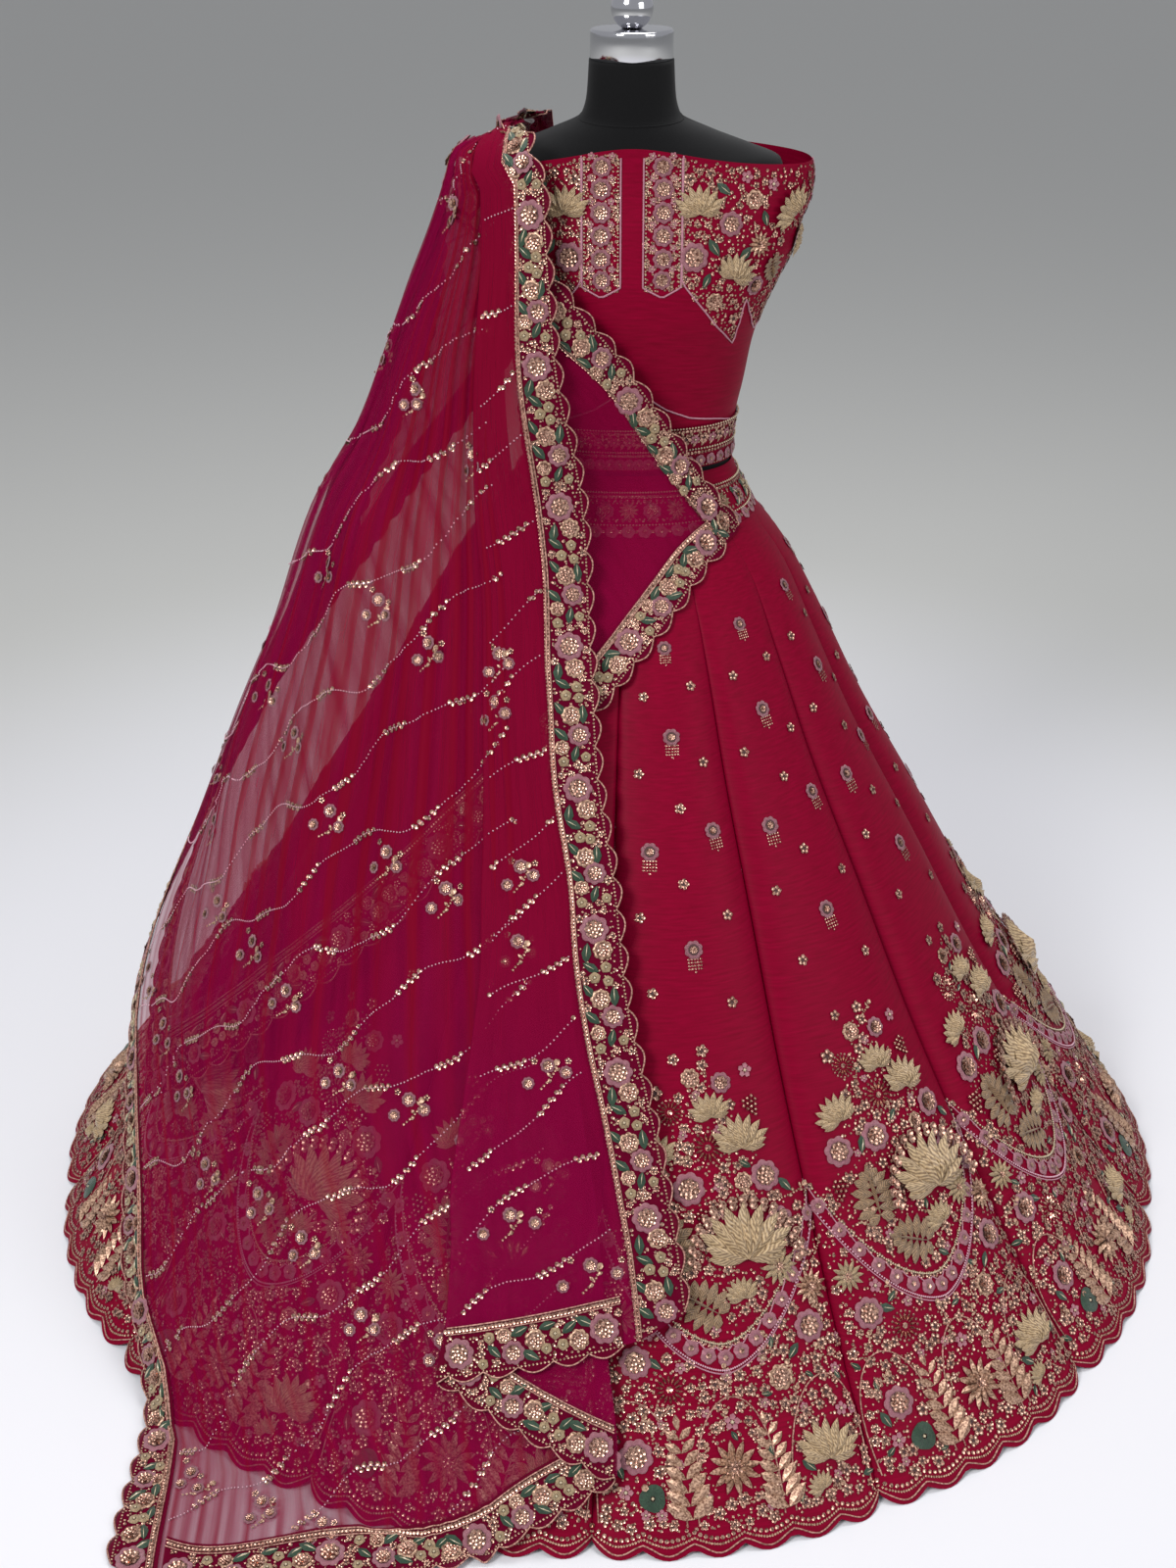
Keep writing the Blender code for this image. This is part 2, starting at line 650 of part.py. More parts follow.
def make_kalis(collection):
    """The skirt's panels, each standing on the tips of its scalloped hem."""
    fine_count = SCALLOPS_PER_KALI * POINTS_PER_SCALLOP
    fine = [i / fine_count for i in range(fine_count + 1)]
    for index in range(KALI_COUNT):
        middle = FIRST_KALI_MIDDLE + index * KALI_PITCH
        faces = []
        for out in (0.0, -SKIRT_WALL):
            lines = [kali_line(middle, 0.0, fine, out, scallop=True)]
            lines += [kali_line(middle, height, fine, out) for height in KALI_FINE_HEIGHTS]
            heights = KALI_COARSE_HEIGHTS + (WAIST_BOTTOM,)
            lines += [kali_line(middle, height, KALI_COARSE_SHARES, out) for height in heights]
            faces.append(lines)
        cloth(f"lehenga_kali_{index + 1:02d}", *faces, collection, CRIMSON, 0.42)


def pleat_depth(azimuth, height):
    """How far the front fall's soft pleats lift the net, fanned from the shoulder."""
    right = FALL.at("right_edge", height)
    left = FALL.at("left_edge", height)
    share = min(max((azimuth - right) / (left - right), 0.0), 1.0)
    wave = 0.5 - 0.5 * math.cos(2.0 * math.pi * FALL_PLEATS * share)
    return PLEATS.at("depth", height) * wave * ease(share / 0.35)


def fall_columns():
    """The front fall's columns from its right edge: zone, share of the zone, share of the width."""
    columns = [("top", 0.0, 0.0), ("border", 0.0, 0.055)]
    for share in TOP_SHARES:
        columns.append(("top", share, LEFT_FOLD_ACROSS * share))
    for step in range(TURN_STEPS + 2):
        columns.append(("left_turn", step / (TURN_STEPS + 1), LEFT_FOLD_ACROSS))
    for share in MIDDLE_SHARES:
        columns.append(("middle", share, mix(LEFT_FOLD_ACROSS, RIGHT_FOLD_ACROSS, share)))
    for step in range(TURN_STEPS + 2):
        columns.append(("right_turn", step / (TURN_STEPS + 1), RIGHT_FOLD_ACROSS))
    count = FALL_PLEATS * COLUMNS_PER_PLEAT
    for step in range(1, count + 1):
        share = step / count
        columns.append(("bottom", share, mix(RIGHT_FOLD_ACROSS, 0.945, share)))
    columns.append(("left_edge", 1.0, 1.0))
    return columns


def place_on_fall(column, edges, per_metre, lift):
    """Place of a column between the fall's edges, and its layer; lift is off the net's right side."""
    zone, share, _ = column
    right, left_fold, right_fold, left = edges
    onward = per_metre if left_fold > right else -per_metre
    left_way = 1.0 if left > right_fold else -1.0
    angle = math.pi * share
    if zone == "top":
        return mix(right, left_fold, share), TOP_LAYER + lift
    if zone == "border":
        width = min(DUPATTA_BORDER * per_metre, 0.45 * abs(left_fold - right))
        return right + math.copysign(width, onward), TOP_LAYER + lift
    if zone == "left_turn":
        reach = 0.5 * (TOP_LAYER - MIDDLE_LAYER) + lift
        centre = 0.5 * (TOP_LAYER + MIDDLE_LAYER)
        return left_fold + onward * reach * math.sin(angle), centre + reach * math.cos(angle)
    if zone == "middle":
        return mix(left_fold, right_fold, share), MIDDLE_LAYER - lift
    if zone == "right_turn":
        reach = 0.5 * (MIDDLE_LAYER - BOTTOM_LAYER) - lift
        centre = 0.5 * (MIDDLE_LAYER + BOTTOM_LAYER)
        return right_fold - onward * reach * math.sin(angle), centre + reach * math.cos(angle)
    if zone == "left_edge":
        return left, BOTTOM_LAYER + lift
    width = min(DUPATTA_BORDER * per_metre, 0.2 * abs(left - right_fold))
    return mix(right_fold, left - left_way * width, share), BOTTOM_LAYER + lift


def ridge_height(column, lift):
    """Height of a column on the shoulder's ridge, where the folds lie side by side as well."""
    return mix(*RIDGE_HEIGHTS, place_on_fall(column, RIDGE_EDGES, 1.0 / RIDGE_LENGTH, lift)[0])


def per_metre_at(azimuth, height):
    """Degrees round the dupatta's surface to one metre along it."""
    return 1.0 / (drape_radius(azimuth, max(height, 0.0)) * DEGREE)


def up_the_cloth(azimuth, height, distance):
    """The height that lies a distance further up the dupatta's surface."""
    steps = 8
    for _ in range(steps):
        probe = 0.002
        length = (drape_base(azimuth, height + probe) - drape_base(azimuth, height)).length
        height += probe * (distance / steps) / length
    return height


def fall_height(column, row, lift):
    """Height of a column on a row: the last two rows are the end border's two sides."""
    across = column[2]
    foot = FALL_FOOT.at("height", across)
    if row == len(FALL_ROWS) + 1:
        return foot
    edge_azimuth = mix(FALL.at("right_fold", foot), FALL.at("left_edge", foot), across)
    inner = up_the_cloth(edge_azimuth, foot, DUPATTA_BORDER)
    if row == len(FALL_ROWS):
        return inner
    return mix(ridge_height(column, lift), inner, FALL_ROWS[row][0])


def fall_point(column, row, lift):
    """A point of the front fall at a lift off the net's right side."""
    height = fall_height(column, row, lift)
    front_share = FALL_ROWS[row][1] if row < len(FALL_ROWS) else 1.0
    edges = [FALL.at(name, height) for name in FALL_COLUMNS[1:]]
    per_metre = per_metre_at(edges[1], height)
    azimuth, layer = place_on_fall(column, edges, per_metre, lift)
    settled_azimuth, settled = place_on_fall(column, edges, per_metre, 0.0)
    azimuth = mix(RIDGE_AZIMUTH, azimuth, front_share)
    if row == 0:
        azimuth += 0.5 * SEAM_GAP * per_metre
    return drape_point(azimuth, height, settled + pleat_depth(settled_azimuth, height), layer - settled)


def loop_point(column, row, lift):
    """A point of the loop behind the shoulder, which meets the front fall on the ridge."""
    drop, back_share, inset = LOOP_ROWS[row]
    height = ridge_height(column, lift) - drop
    edges = [LOOP_AZIMUTHS[name] for name in FALL_COLUMNS[1:]]
    per_metre = per_metre_at(edges[1], height)
    azimuth, layer = place_on_fall(column, edges, per_metre, lift)
    azimuth = mix(RIDGE_AZIMUTH, azimuth, back_share)
    if row == 0:
        azimuth -= 0.5 * SEAM_GAP * per_metre
    return drape_point(azimuth, height, layer - inset, 0.0)


def under_place(across, along):
    """Azimuth and height on the under fall, blended between its four edges."""
    place = []
    for name in ("azimuth", "height"):
        right = UNDER_RIGHT.at(name, along)
        left = UNDER_LEFT.at(name, along)
        start = mix(UNDER_RIGHT.at(name, 0.0), UNDER_LEFT.at(name, 0.0), across)
        foot = UNDER_FOOT.at(name, across)
        corners = mix(
            mix(UNDER_RIGHT.at(name, 0.0), UNDER_LEFT.at(name, 0.0), across),
            mix(UNDER_FOOT.at(name, 0.0), UNDER_FOOT.at(name, 1.0), across),
            along,
        )
        place.append(mix(right, left, across) + mix(start, foot, along) - corners)
    return place


def border_share(point_at):
    """How far along a line from its start one border's width lies."""
    steps = 60
    length = 0.0
    last = point_at(0.0)
    for step in range(1, steps + 1):
        share = 0.5 * step / steps
        point = point_at(share)
        length += (point - last).length
        last = point
        if length >= DUPATTA_BORDER:
            return share
    return 0.5


def under_base(across, along):
    return drape_base(*under_place(across, along))


def under_grid():
    """The under fall's places, with lines along the inner sides of its three borders."""
    rows = []
    alongs = [i / UNDER_ROWS for i in range(UNDER_ROWS)]
    for row in range(UNDER_ROWS + 2):
        line = []
        nominal = alongs[row] if row < UNDER_ROWS else 1.0
        right_side = border_share(lambda share: under_base(share, nominal))
        left_side = 1.0 - border_share(lambda share: under_base(1.0 - share, nominal))
        acrosses = [0.0] + [mix(right_side, left_side, i / UNDER_COLUMNS) for i in range(UNDER_COLUMNS + 1)]
        for across in acrosses + [1.0]:
            foot = 1.0 - border_share(lambda share: under_base(across, 1.0 - share))
            along = 1.0 if row == UNDER_ROWS + 1 else foot * row / UNDER_ROWS
            line.append(under_place(across, along))
        rows.append(line)
    return rows


def raise_line(places, lift):
    return [drape_point(azimuth, height, UNDER_LAYER, lift) for azimuth, height in places]


def scalloped_edge(edge, inner):
    """A finer line of scallops that stands out past a border's edge."""
    points = []
    per_cell = EDGE_SCALLOPS * POINTS_PER_SCALLOP
    for index in range(len(edge) - 1):
        for step in range(per_cell):
            share = step / per_cell
            phase = (share * EDGE_SCALLOPS) % 1.0
            point = edge[index].lerp(edge[index + 1], share)
            inside = inner[index].lerp(inner[index + 1], share)
            outward = (point - inside).normalized()
            points.append(point + outward * (EDGE_LIP + EDGE_SCALLOP_DEPTH * math.sin(math.pi * phase)))
    points.append(edge[-1] + (edge[-1] - inner[-1]).normalized() * EDGE_LIP)
    return points


def trim_ends(line):
    """Shorten a line of points by a seam's gap at each end."""
    line[0] = line[0] + (line[1] - line[0]).normalized() * SEAM_GAP
    line[-1] = line[-1] + (line[-2] - line[-1]).normalized() * SEAM_GAP


def make_border(name, line_at, collection, scalloped=False, trimmed=False, edge_first=True):
    """An embroidered border on the net; line_at gives its edge or inner line at a lift."""
    faces = []
    for lift in (2.0 * SEAM_GAP + BORDER_WALL, 2.0 * SEAM_GAP):
        edge = line_at("edge", lift)
        inner = line_at("inner", lift)
        if trimmed:
            trim_ends(edge)
            trim_ends(inner)
        lines = [edge, inner]
        if scalloped:
            lines = [scalloped_edge(edge, inner)] + lines
        faces.append(lines if edge_first else lines[::-1])
    cloth(name, *faces, collection, ROSE_GOLD, 0.5)


def make_front_fall(collection):
    """The outer fall, folded on itself at the front, with its three borders."""
    columns = fall_columns()
    last = len(FALL_ROWS) + 1
    rows = range(last, -1, -1)
    faces = [[[fall_point(column, row, lift) for column in columns] for row in rows]
             for lift in (0.0, -NET_WALL)]
    cloth("dupatta_front_fall", *faces, collection, NET_PINK, 0.6)

    right = {"edge": columns[0], "inner": columns[1]}
    left = {"edge": columns[-1], "inner": columns[-2]}
    foot = {"edge": last, "inner": last - 1}
    make_border("dupatta_front_border", lambda side, lift: [fall_point(right[side], row, lift) for row in rows],
                collection, scalloped=True)
    make_border("dupatta_left_border", lambda side, lift: [fall_point(left[side], row, lift) for row in rows],
                collection, edge_first=False)
    make_border("dupatta_front_end_border",
                lambda side, lift: [fall_point(column, foot[side], lift) for column in columns[1:-1]],
                collection, trimmed=True)


def make_shoulder_loop(collection):
    """The stretch behind the shoulder, with a border down each side."""
    columns = fall_columns()
    rows = range(len(LOOP_ROWS))
    faces = [[[loop_point(column, row, lift) for column in columns] for row in rows]
             for lift in (0.0, -NET_WALL)]
    cloth("dupatta_shoulder_loop", *faces, collection, NET_PINK, 0.6)

    sides = {"inner": (columns[0], columns[1]), "outer": (columns[-1], columns[-2])}
    for name, (edge, inner) in sides.items():
        chosen = {"edge": edge, "inner": inner}
        make_border(f"dupatta_loop_{name}_border",
                    lambda side, lift: [loop_point(chosen[side], row, lift) for row in rows],
                    collection, edge_first=name == "inner")


def make_under_fall(collection):
    """The under fall across the front, with borders on its two sides and its end."""
    grid = under_grid()
    faces = [[raise_line(line, lift) for line in reversed(grid)] for lift in (0.0, -NET_WALL)]
    cloth("dupatta_under_fall", *faces, collection, NET_PINK, 0.6)

    right = {"edge": 0, "inner": 1}
    left = {"edge": -1, "inner": -2}
    make_border("dupatta_under_border",
                lambda side, lift: raise_line([line[right[side]] for line in reversed(grid)], lift),
                collection, scalloped=True)
    make_border("dupatta_under_left_border",
                lambda side, lift: raise_line([line[left[side]] for line in reversed(grid)], lift),
                collection, edge_first=False)
    make_border("dupatta_under_end_border",
                lambda side, lift: raise_line(grid[left[side]][1:-1], lift), collection,
                scalloped=True, trimmed=True)


def main():
    clear_scene()
    collection = bpy.data.collections.new("lehenga_choli")
    bpy.context.scene.collection.children.link(collection)
    make_form_torso(collection)
    make_form_fittings(collection)
    make_choli(collection)
    make_waistband(collection)
    make_kalis(collection)
    make_under_fall(collection)
    make_front_fall(collection)
    make_shoulder_loop(collection)


main()
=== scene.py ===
"""Looks of the lehenga choli on its dress form.

The cloth is drawn as thin sheets on the forms of the solids, in metres, +Z up, with
the front facing -Y. An azimuth is in degrees from the front, positive towards +X.
The embroidery is sewn on as real beads, sequins, petals, leaves and cords: a layout
is a short table in metres across and up the cloth, and Geometry Nodes set the pieces.
"""

import math

import bpy
import numpy as np
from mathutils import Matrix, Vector


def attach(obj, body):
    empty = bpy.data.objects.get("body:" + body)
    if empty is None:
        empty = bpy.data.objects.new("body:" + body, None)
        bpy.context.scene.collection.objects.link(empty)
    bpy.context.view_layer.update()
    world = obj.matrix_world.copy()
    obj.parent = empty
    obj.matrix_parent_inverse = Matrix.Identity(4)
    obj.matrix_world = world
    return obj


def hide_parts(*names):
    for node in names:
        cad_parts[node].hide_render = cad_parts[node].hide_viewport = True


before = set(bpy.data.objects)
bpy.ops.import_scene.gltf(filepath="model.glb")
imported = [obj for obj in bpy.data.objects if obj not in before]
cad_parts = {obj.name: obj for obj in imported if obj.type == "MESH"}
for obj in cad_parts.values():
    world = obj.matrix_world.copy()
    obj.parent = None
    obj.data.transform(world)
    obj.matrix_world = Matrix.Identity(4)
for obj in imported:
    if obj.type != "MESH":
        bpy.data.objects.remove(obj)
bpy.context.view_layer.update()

SEED = 24
DEGREE = math.pi / 180.0
STITCH_LIFT = 0.0009
THREAD_ROWS = 26.0
DISC_RIM = 0.18

FORM_SQUARENESS = 2.3
FORM_COLUMNS = ("height", "half_width", "front", "back")
FORM_SECTIONS = (
    (0.7800, 0.1500, 0.0980, 0.1120),
    (0.8300, 0.1620, 0.1060, 0.1220),
    (0.8800, 0.1600, 0.1060, 0.1200),
    (0.9400, 0.1480, 0.1000, 0.1100),
    (0.9900, 0.1352, 0.0934, 0.0984),
    (1.0300, 0.1322, 0.0914, 0.0944),
    (1.0600, 0.1333, 0.0928, 0.0950),
    (1.1100, 0.1390, 0.0990, 0.1000),
    (1.1700, 0.1470, 0.1100, 0.1060),
    (1.2300, 0.1570, 0.1180, 0.1100),
    (1.2800, 0.1660, 0.1140, 0.1120),
    (1.3300, 0.1780, 0.1000, 0.1060),
    (1.3700, 0.1870, 0.0840, 0.0950),
    (1.3860, 0.1830, 0.0760, 0.0870),
    (1.4000, 0.1500, 0.0700, 0.0780),
    (1.4180, 0.1000, 0.0630, 0.0680),
    (1.4370, 0.0600, 0.0560, 0.0580),
    (1.4600, 0.0535, 0.0530, 0.0535),
    (1.4990, 0.0508, 0.0508, 0.0508),
)
FORM_LIFT = 0.0002
NECK_SEAM_HEIGHT = 1.4345
NECK_SEAM_DIP = 0.0045
NECK_SEAM_RADIUS = 0.0008
CAP_LOW = 1.4993
CAP_RADIUS = 0.0498
CAP_HEIGHT = 0.0340
BALL_RADIUS = 0.0253
BALL_SEAT_RADIUS = 0.0120
HEM_SQUARENESS = 2.0
SQUARE_HEIGHTS = (0.80, 0.98)
WAIST_TOP = 1.0120
WAIST_BOTTOM = 0.9500
HEM_CENTRE = (-0.023, -0.113)
KALI_COUNT = 14
FIRST_KALI_MIDDLE = 11.0
KALI_PITCH = 360.0 / KALI_COUNT
HEM_SCALLOPS = 6
HEM_SCALLOP_DEPTH = 0.0085
CREASE_WIDTH = 0.016
BORDER = 0.056
BORDER_SCALLOP = 0.040
BORDER_SCALLOP_DEPTH = 0.009

CHOLI_COLUMNS = ("height", "right", "left", "front", "back")
CHOLI_SECTIONS = (
    (1.0185, 0.1364, 0.1364, 0.0952, 0.0984),
    (1.0400, 0.1355, 0.1355, 0.0947, 0.0977),
    (1.0750, 0.1392, 0.1392, 0.0990, 0.1005),
    (1.1140, 0.1470, 0.1450, 0.1045, 0.1045),
    (1.1730, 0.1575, 0.1540, 0.1150, 0.1110),
    (1.2150, 0.1720, 0.1640, 0.1225, 0.1160),
    (1.2490, 0.1875, 0.1740, 0.1235, 0.1190),
    (1.2820, 0.2035, 0.1840, 0.1200, 0.1200),
    (1.3180, 0.2125, 0.1900, 0.1140, 0.1180),
    (1.3420, 0.2220, 0.1930, 0.1085, 0.1150),
    (1.3670, 0.2245, 0.1950, 0.1040, 0.1120),
    (1.3900, 0.2200, 0.1930, 0.1010, 0.1090),
)
CHOLI_BOTTOM = 1.0185
CHOLI_TOP_SIDE = 1.3860
CHOLI_BORDER_TOP = 1.0750

SKIRT_COLUMNS = ("height", "half_width", "front", "back")
SKIRT_SECTIONS = (
    (0.0000, 0.8000, 0.8000, 0.8000),
    (0.0800, 0.7330, 0.7330, 0.7330),
    (0.1700, 0.6640, 0.6640, 0.6640),
    (0.2800, 0.5880, 0.5880, 0.5880),
    (0.4000, 0.5080, 0.5080, 0.5080),
    (0.5500, 0.4180, 0.4180, 0.4180),
    (0.7000, 0.3250, 0.3240, 0.3220),
    (0.8200, 0.2600, 0.2560, 0.2550),
    (0.9000, 0.2120, 0.1980, 0.2000),
    (0.9500, 0.1690, 0.1460, 0.1500),
    (0.9850, 0.1480, 0.1140, 0.1180),
    (1.0120, 0.1359, 0.0947, 0.0987),
)
CREASE_COLUMNS = ("height", "crease", "belly")
CREASE_SECTIONS = (
    (0.0000, 0.0090, 0.0060),
    (0.2000, 0.0130, 0.0080),
    (0.5000, 0.0130, 0.0070),
    (0.8000, 0.0070, 0.0030),
    (0.9500, 0.0000, 0.0000),
)
BROAD_FOLDS = (
    (96.0, 20.0, 0.20, 0.20, 0.014),
    (150.0, 22.0, 0.26, 0.26, 0.012),
    (-150.0, 24.0, 0.24, 0.24, 0.012),
    (-72.0, 18.0, 0.16, 0.16, 0.010),
)

SKIRT_CLEARANCE = 0.0020
TENT_AZIMUTHS = (-180.0, -135.0, -90.0, -45.0, 0.0, 60.0)
TENT_COLUMNS = ("height", "back", "back_left", "left", "front_left", "front", "right")
TENT_SECTIONS = (
    (0.000, 0.800, 0.805, 0.805, 0.805, 0.800, 0.800),
    (0.080, 0.735, 0.760, 0.775, 0.755, 0.735, 0.735),
    (0.200, 0.650, 0.690, 0.720, 0.680, 0.645, 0.645),
    (0.350, 0.545, 0.600, 0.645, 0.590, 0.540, 0.540),
    (0.500, 0.450, 0.515, 0.572, 0.505, 0.448, 0.448),
    (0.650, 0.355, 0.440, 0.515, 0.420, 0.355, 0.355),
    (0.800, 0.270, 0.360, 0.452, 0.350, 0.272, 0.270),
    (0.950, 0.160, 0.290, 0.396, 0.285, 0.174, 0.1675),
    (1.050, 0.112, 0.235, 0.336, 0.243, 0.140, 0.137),
    (1.150, 0.124, 0.190, 0.296, 0.212, 0.131, 0.151),
    (1.220, 0.130, 0.170, 0.268, 0.192, 0.1275, 0.172),
    (1.300, 0.130, 0.168, 0.234, 0.170, 0.122, 0.192),
    (1.360, 0.126, 0.164, 0.213, 0.155, 0.113, 0.188),
    (1.386, 0.122, 0.158, 0.206, 0.149, 0.110, 0.175),
    (1.400, 0.116, 0.144, 0.178, 0.142, 0.108, 0.150),
    (1.415, 0.092, 0.116, 0.132, 0.125, 0.105, 0.110),
    (1.432, 0.066, 0.080, 0.090, 0.080, 0.066, 0.066),
)

UNDER_LAYER = 0.0012
BOTTOM_LAYER = 0.0085
MIDDLE_LAYER = 0.0143
TOP_LAYER = 0.0193

RIDGE_AZIMUTH = -90.0
RIDGE_HEIGHTS = (1.4284, 1.3850)
RIDGE_LENGTH = 0.112
RIDGE_EDGES = (0.0, 0.34, 0.22, 1.0)
FALL_COLUMNS = ("height", "right_edge", "left_fold", "right_fold", "left_edge")
FALL_SECTIONS = (
    (-0.180, 7.0, -17.0, -2.0, -35.4),
    (-0.064, 7.0, -17.0, -1.0, -41.0),
    (0.000, 7.0, -17.0, -0.5, -45.0),
    (0.050, 7.0, -17.0, 0.0, -49.0),
    (0.088, 7.0, -17.0, 0.0, -55.0),
    (0.166, 7.0, -17.0, -1.0, -62.0),
    (0.250, 6.5, -18.0, -2.0, -72.0),
    (0.310, 5.5, -19.5, -3.0, -82.0),
    (0.380, 4.0, -20.0, -5.0, -90.0),
    (0.500, 0.5, -21.0, -8.0, -98.0),
    (0.600, -1.5, -24.0, -12.0, -105.0),
    (0.710, -6.0, -28.0, -17.0, -109.0),
    (0.800, -9.0, -32.0, -22.0, -111.0),
    (0.910, -15.0, -38.0, -29.0, -112.0),
    (1.040, -23.0, -47.0, -39.0, -111.0),
    (1.160, -31.0, -53.0, -46.0, -108.0),
    (1.270, -36.0, -58.0, -51.0, -103.0),
    (1.380, -42.0, -66.0, -60.0, -97.0),
    (1.430, -45.0, -70.0, -64.0, -95.0),
)
FALL_END_COLUMNS = ("across", "height")
FALL_END = (
    (0.00, 0.204),
    (0.16, 0.140),
    (0.30, 0.070),
    (0.42, 0.020),
    (0.50, -0.020),
    (0.68, -0.075),
    (0.90, -0.165),
    (1.00, -0.180),
)
FALL_PLEATS = 7
PLEAT_COLUMNS = ("height", "depth")
PLEAT_SECTIONS = (
    (0.000, 0.0000),
    (0.100, 0.0020),
    (0.300, 0.0060),
    (0.600, 0.0110),
    (0.900, 0.0120),
    (1.200, 0.0080),
    (1.430, 0.0030),
)

LOOP_AZIMUTHS = {"right_edge": -151.0, "left_fold": -138.0, "right_fold": -142.0, "left_edge": -118.0}

EDGE_COLUMNS = ("share", "azimuth", "height")
UNDER_RIGHT_EDGE = (
    (0.00, -128.0, 1.350),
    (0.08, -105.0, 1.366),
    (0.16, -80.0, 1.368),
    (0.26, -58.0, 1.340),
    (0.38, -40.0, 1.285),
    (0.50, -20.0, 1.215),
    (0.60, -2.0, 1.158),
    (0.70, 13.0, 1.108),
    (0.80, 28.0, 1.053),
    (0.90, 42.0, 1.000),
    (1.00, 56.0, 0.947),
)
UNDER_LEFT_EDGE = (
    (0.00, -138.0, 1.180),
    (0.20, -126.0, 0.980),
    (0.40, -114.0, 0.780),
    (0.60, -100.0, 0.580),
    (0.80, -84.0, 0.400),
    (1.00, -65.0, 0.241),
)
UNDER_END = (
    (0.00, 56.0, 0.947),
    (0.10, 32.0, 0.924),
    (0.20, 13.0, 0.875),
    (0.33, -8.0, 0.784),
    (0.50, -28.0, 0.650),
    (0.62, -38.0, 0.545),
    (0.75, -48.0, 0.440),
    (0.88, -58.0, 0.320),
    (1.00, -65.0, 0.241),
)

# At the first drops from the ridge, how much of its way round the fall has gone. Then every row's drop.
FRONT_SHARES = ((0.0, 0.006, 0.017, 0.042), (0.0, 0.40, 0.75, 1.0))
FALL_DROPS = np.concatenate([[0.0, 0.003, 0.006, 0.011, 0.017, 0.028, 0.042], np.linspace(0.06, 1.0, 70)])

# Where the fall's single left edge starts, as heights and shares of its width,
# and what doubled and single net add to its cover.
SINGLE_NET_FROM = ((0.45, 1.0), (0.88, 0.68))
DOUBLED_COVER = 0.50
LOW_COVER = -0.45
SINGLE_COVER = 0.55

# Each motif as the pieces that it is sewn from: shape, finish, share of its size, lift in metres.
MOTIFS = {
    "pink_rose": (("rim", "dusty_pink", 1.0, 0.0), ("base", "dark_zari", 1.0, 0.0),
                  ("rosette", "rose_gold", 0.88, 0.0006)),
    "sequin_rose": (("rim", "antique_gold", 1.0, 0.0), ("base", "dark_zari", 1.0, 0.0),
                    ("rosette", "rose_gold", 1.0, 0.0006)),
    "ivory_bud": (("bud", "ivory", 1.0, 0.0), ("bead", "pearl", 0.30, 0.0010)),
    "ivory_lotus": (("lotus", "ivory", 1.0, 0.0),),
    "crowned_lotus": (("lotus", "ivory", 1.0, 0.0), ("halo", "rose_gold", 1.0, 0.0)),
    "star_flower": (("star", "antique_gold", 1.0, 0.0), ("rosette", "rose_gold", 0.55, 0.0016)),
    "ivory_star": (("star", "ivory", 1.0, 0.0), ("rosette", "rose_gold", 0.50, 0.0014)),
    "bead_wheel": (("wheel", "rose_gold", 1.0, 0.0),),
    "bronze_leaf": (("ribbed", "bronze", 1.0, 0.0),),
    "green_leaf": (("leaf", "leaf_green", 1.0, 0.0), ("vein", "pearl", 1.0, 0.0002)),
    "green_pad": (("lily_pad", "leaf_green", 1.0, 0.0), ("bead", "pearl", 0.16, 0.0006)),
    "gold_leaf": (("leaf", "antique_gold", 1.0, 0.0),),
    "gold_plume": (("plume", "antique_gold", 1.0, 0.0),),
    "gold_sprig": (("sprig", "antique_gold", 1.0, 0.0),),
    "sequin_floret": (("floret", "rose_gold", 1.0, 0.0), ("seed", "dark_zari", 0.34, 0.0)),
    "pink_floret": (("floret", "dusty_pink", 1.0, 0.0), ("bead", "pearl", 0.30, 0.0002)),
    "fan_tassel": (("rim", "dusty_pink", 0.78, 0.0), ("base", "dark_zari", 0.8, 0.0),
                   ("rosette", "rose_gold", 0.42, 0.0004), ("fringe", "rose_gold", 1.0, 0.0)),
    "berry_cluster": (("cluster", "rose_gold", 1.0, 0.0),),
    "pink_shell": (("shell", "dusty_pink", 1.0, 0.0), ("sequin", "rose_gold", 0.34, 0.0012)),
    "sequin": (("sequin", "rose_gold", 1.0, 0.0),),
    "pearl": (("bead", "pearl", 1.0, 0.0),),
    "pink_pearl": (("bead", "pink_pearl", 1.0, 0.0),),
    "seed": (("seed", "antique_gold", 1.0, 0.0),),
}

SHARP_SHAPES = ("lotus", "star", "ribbed", "plume", "wheel", "leaf")

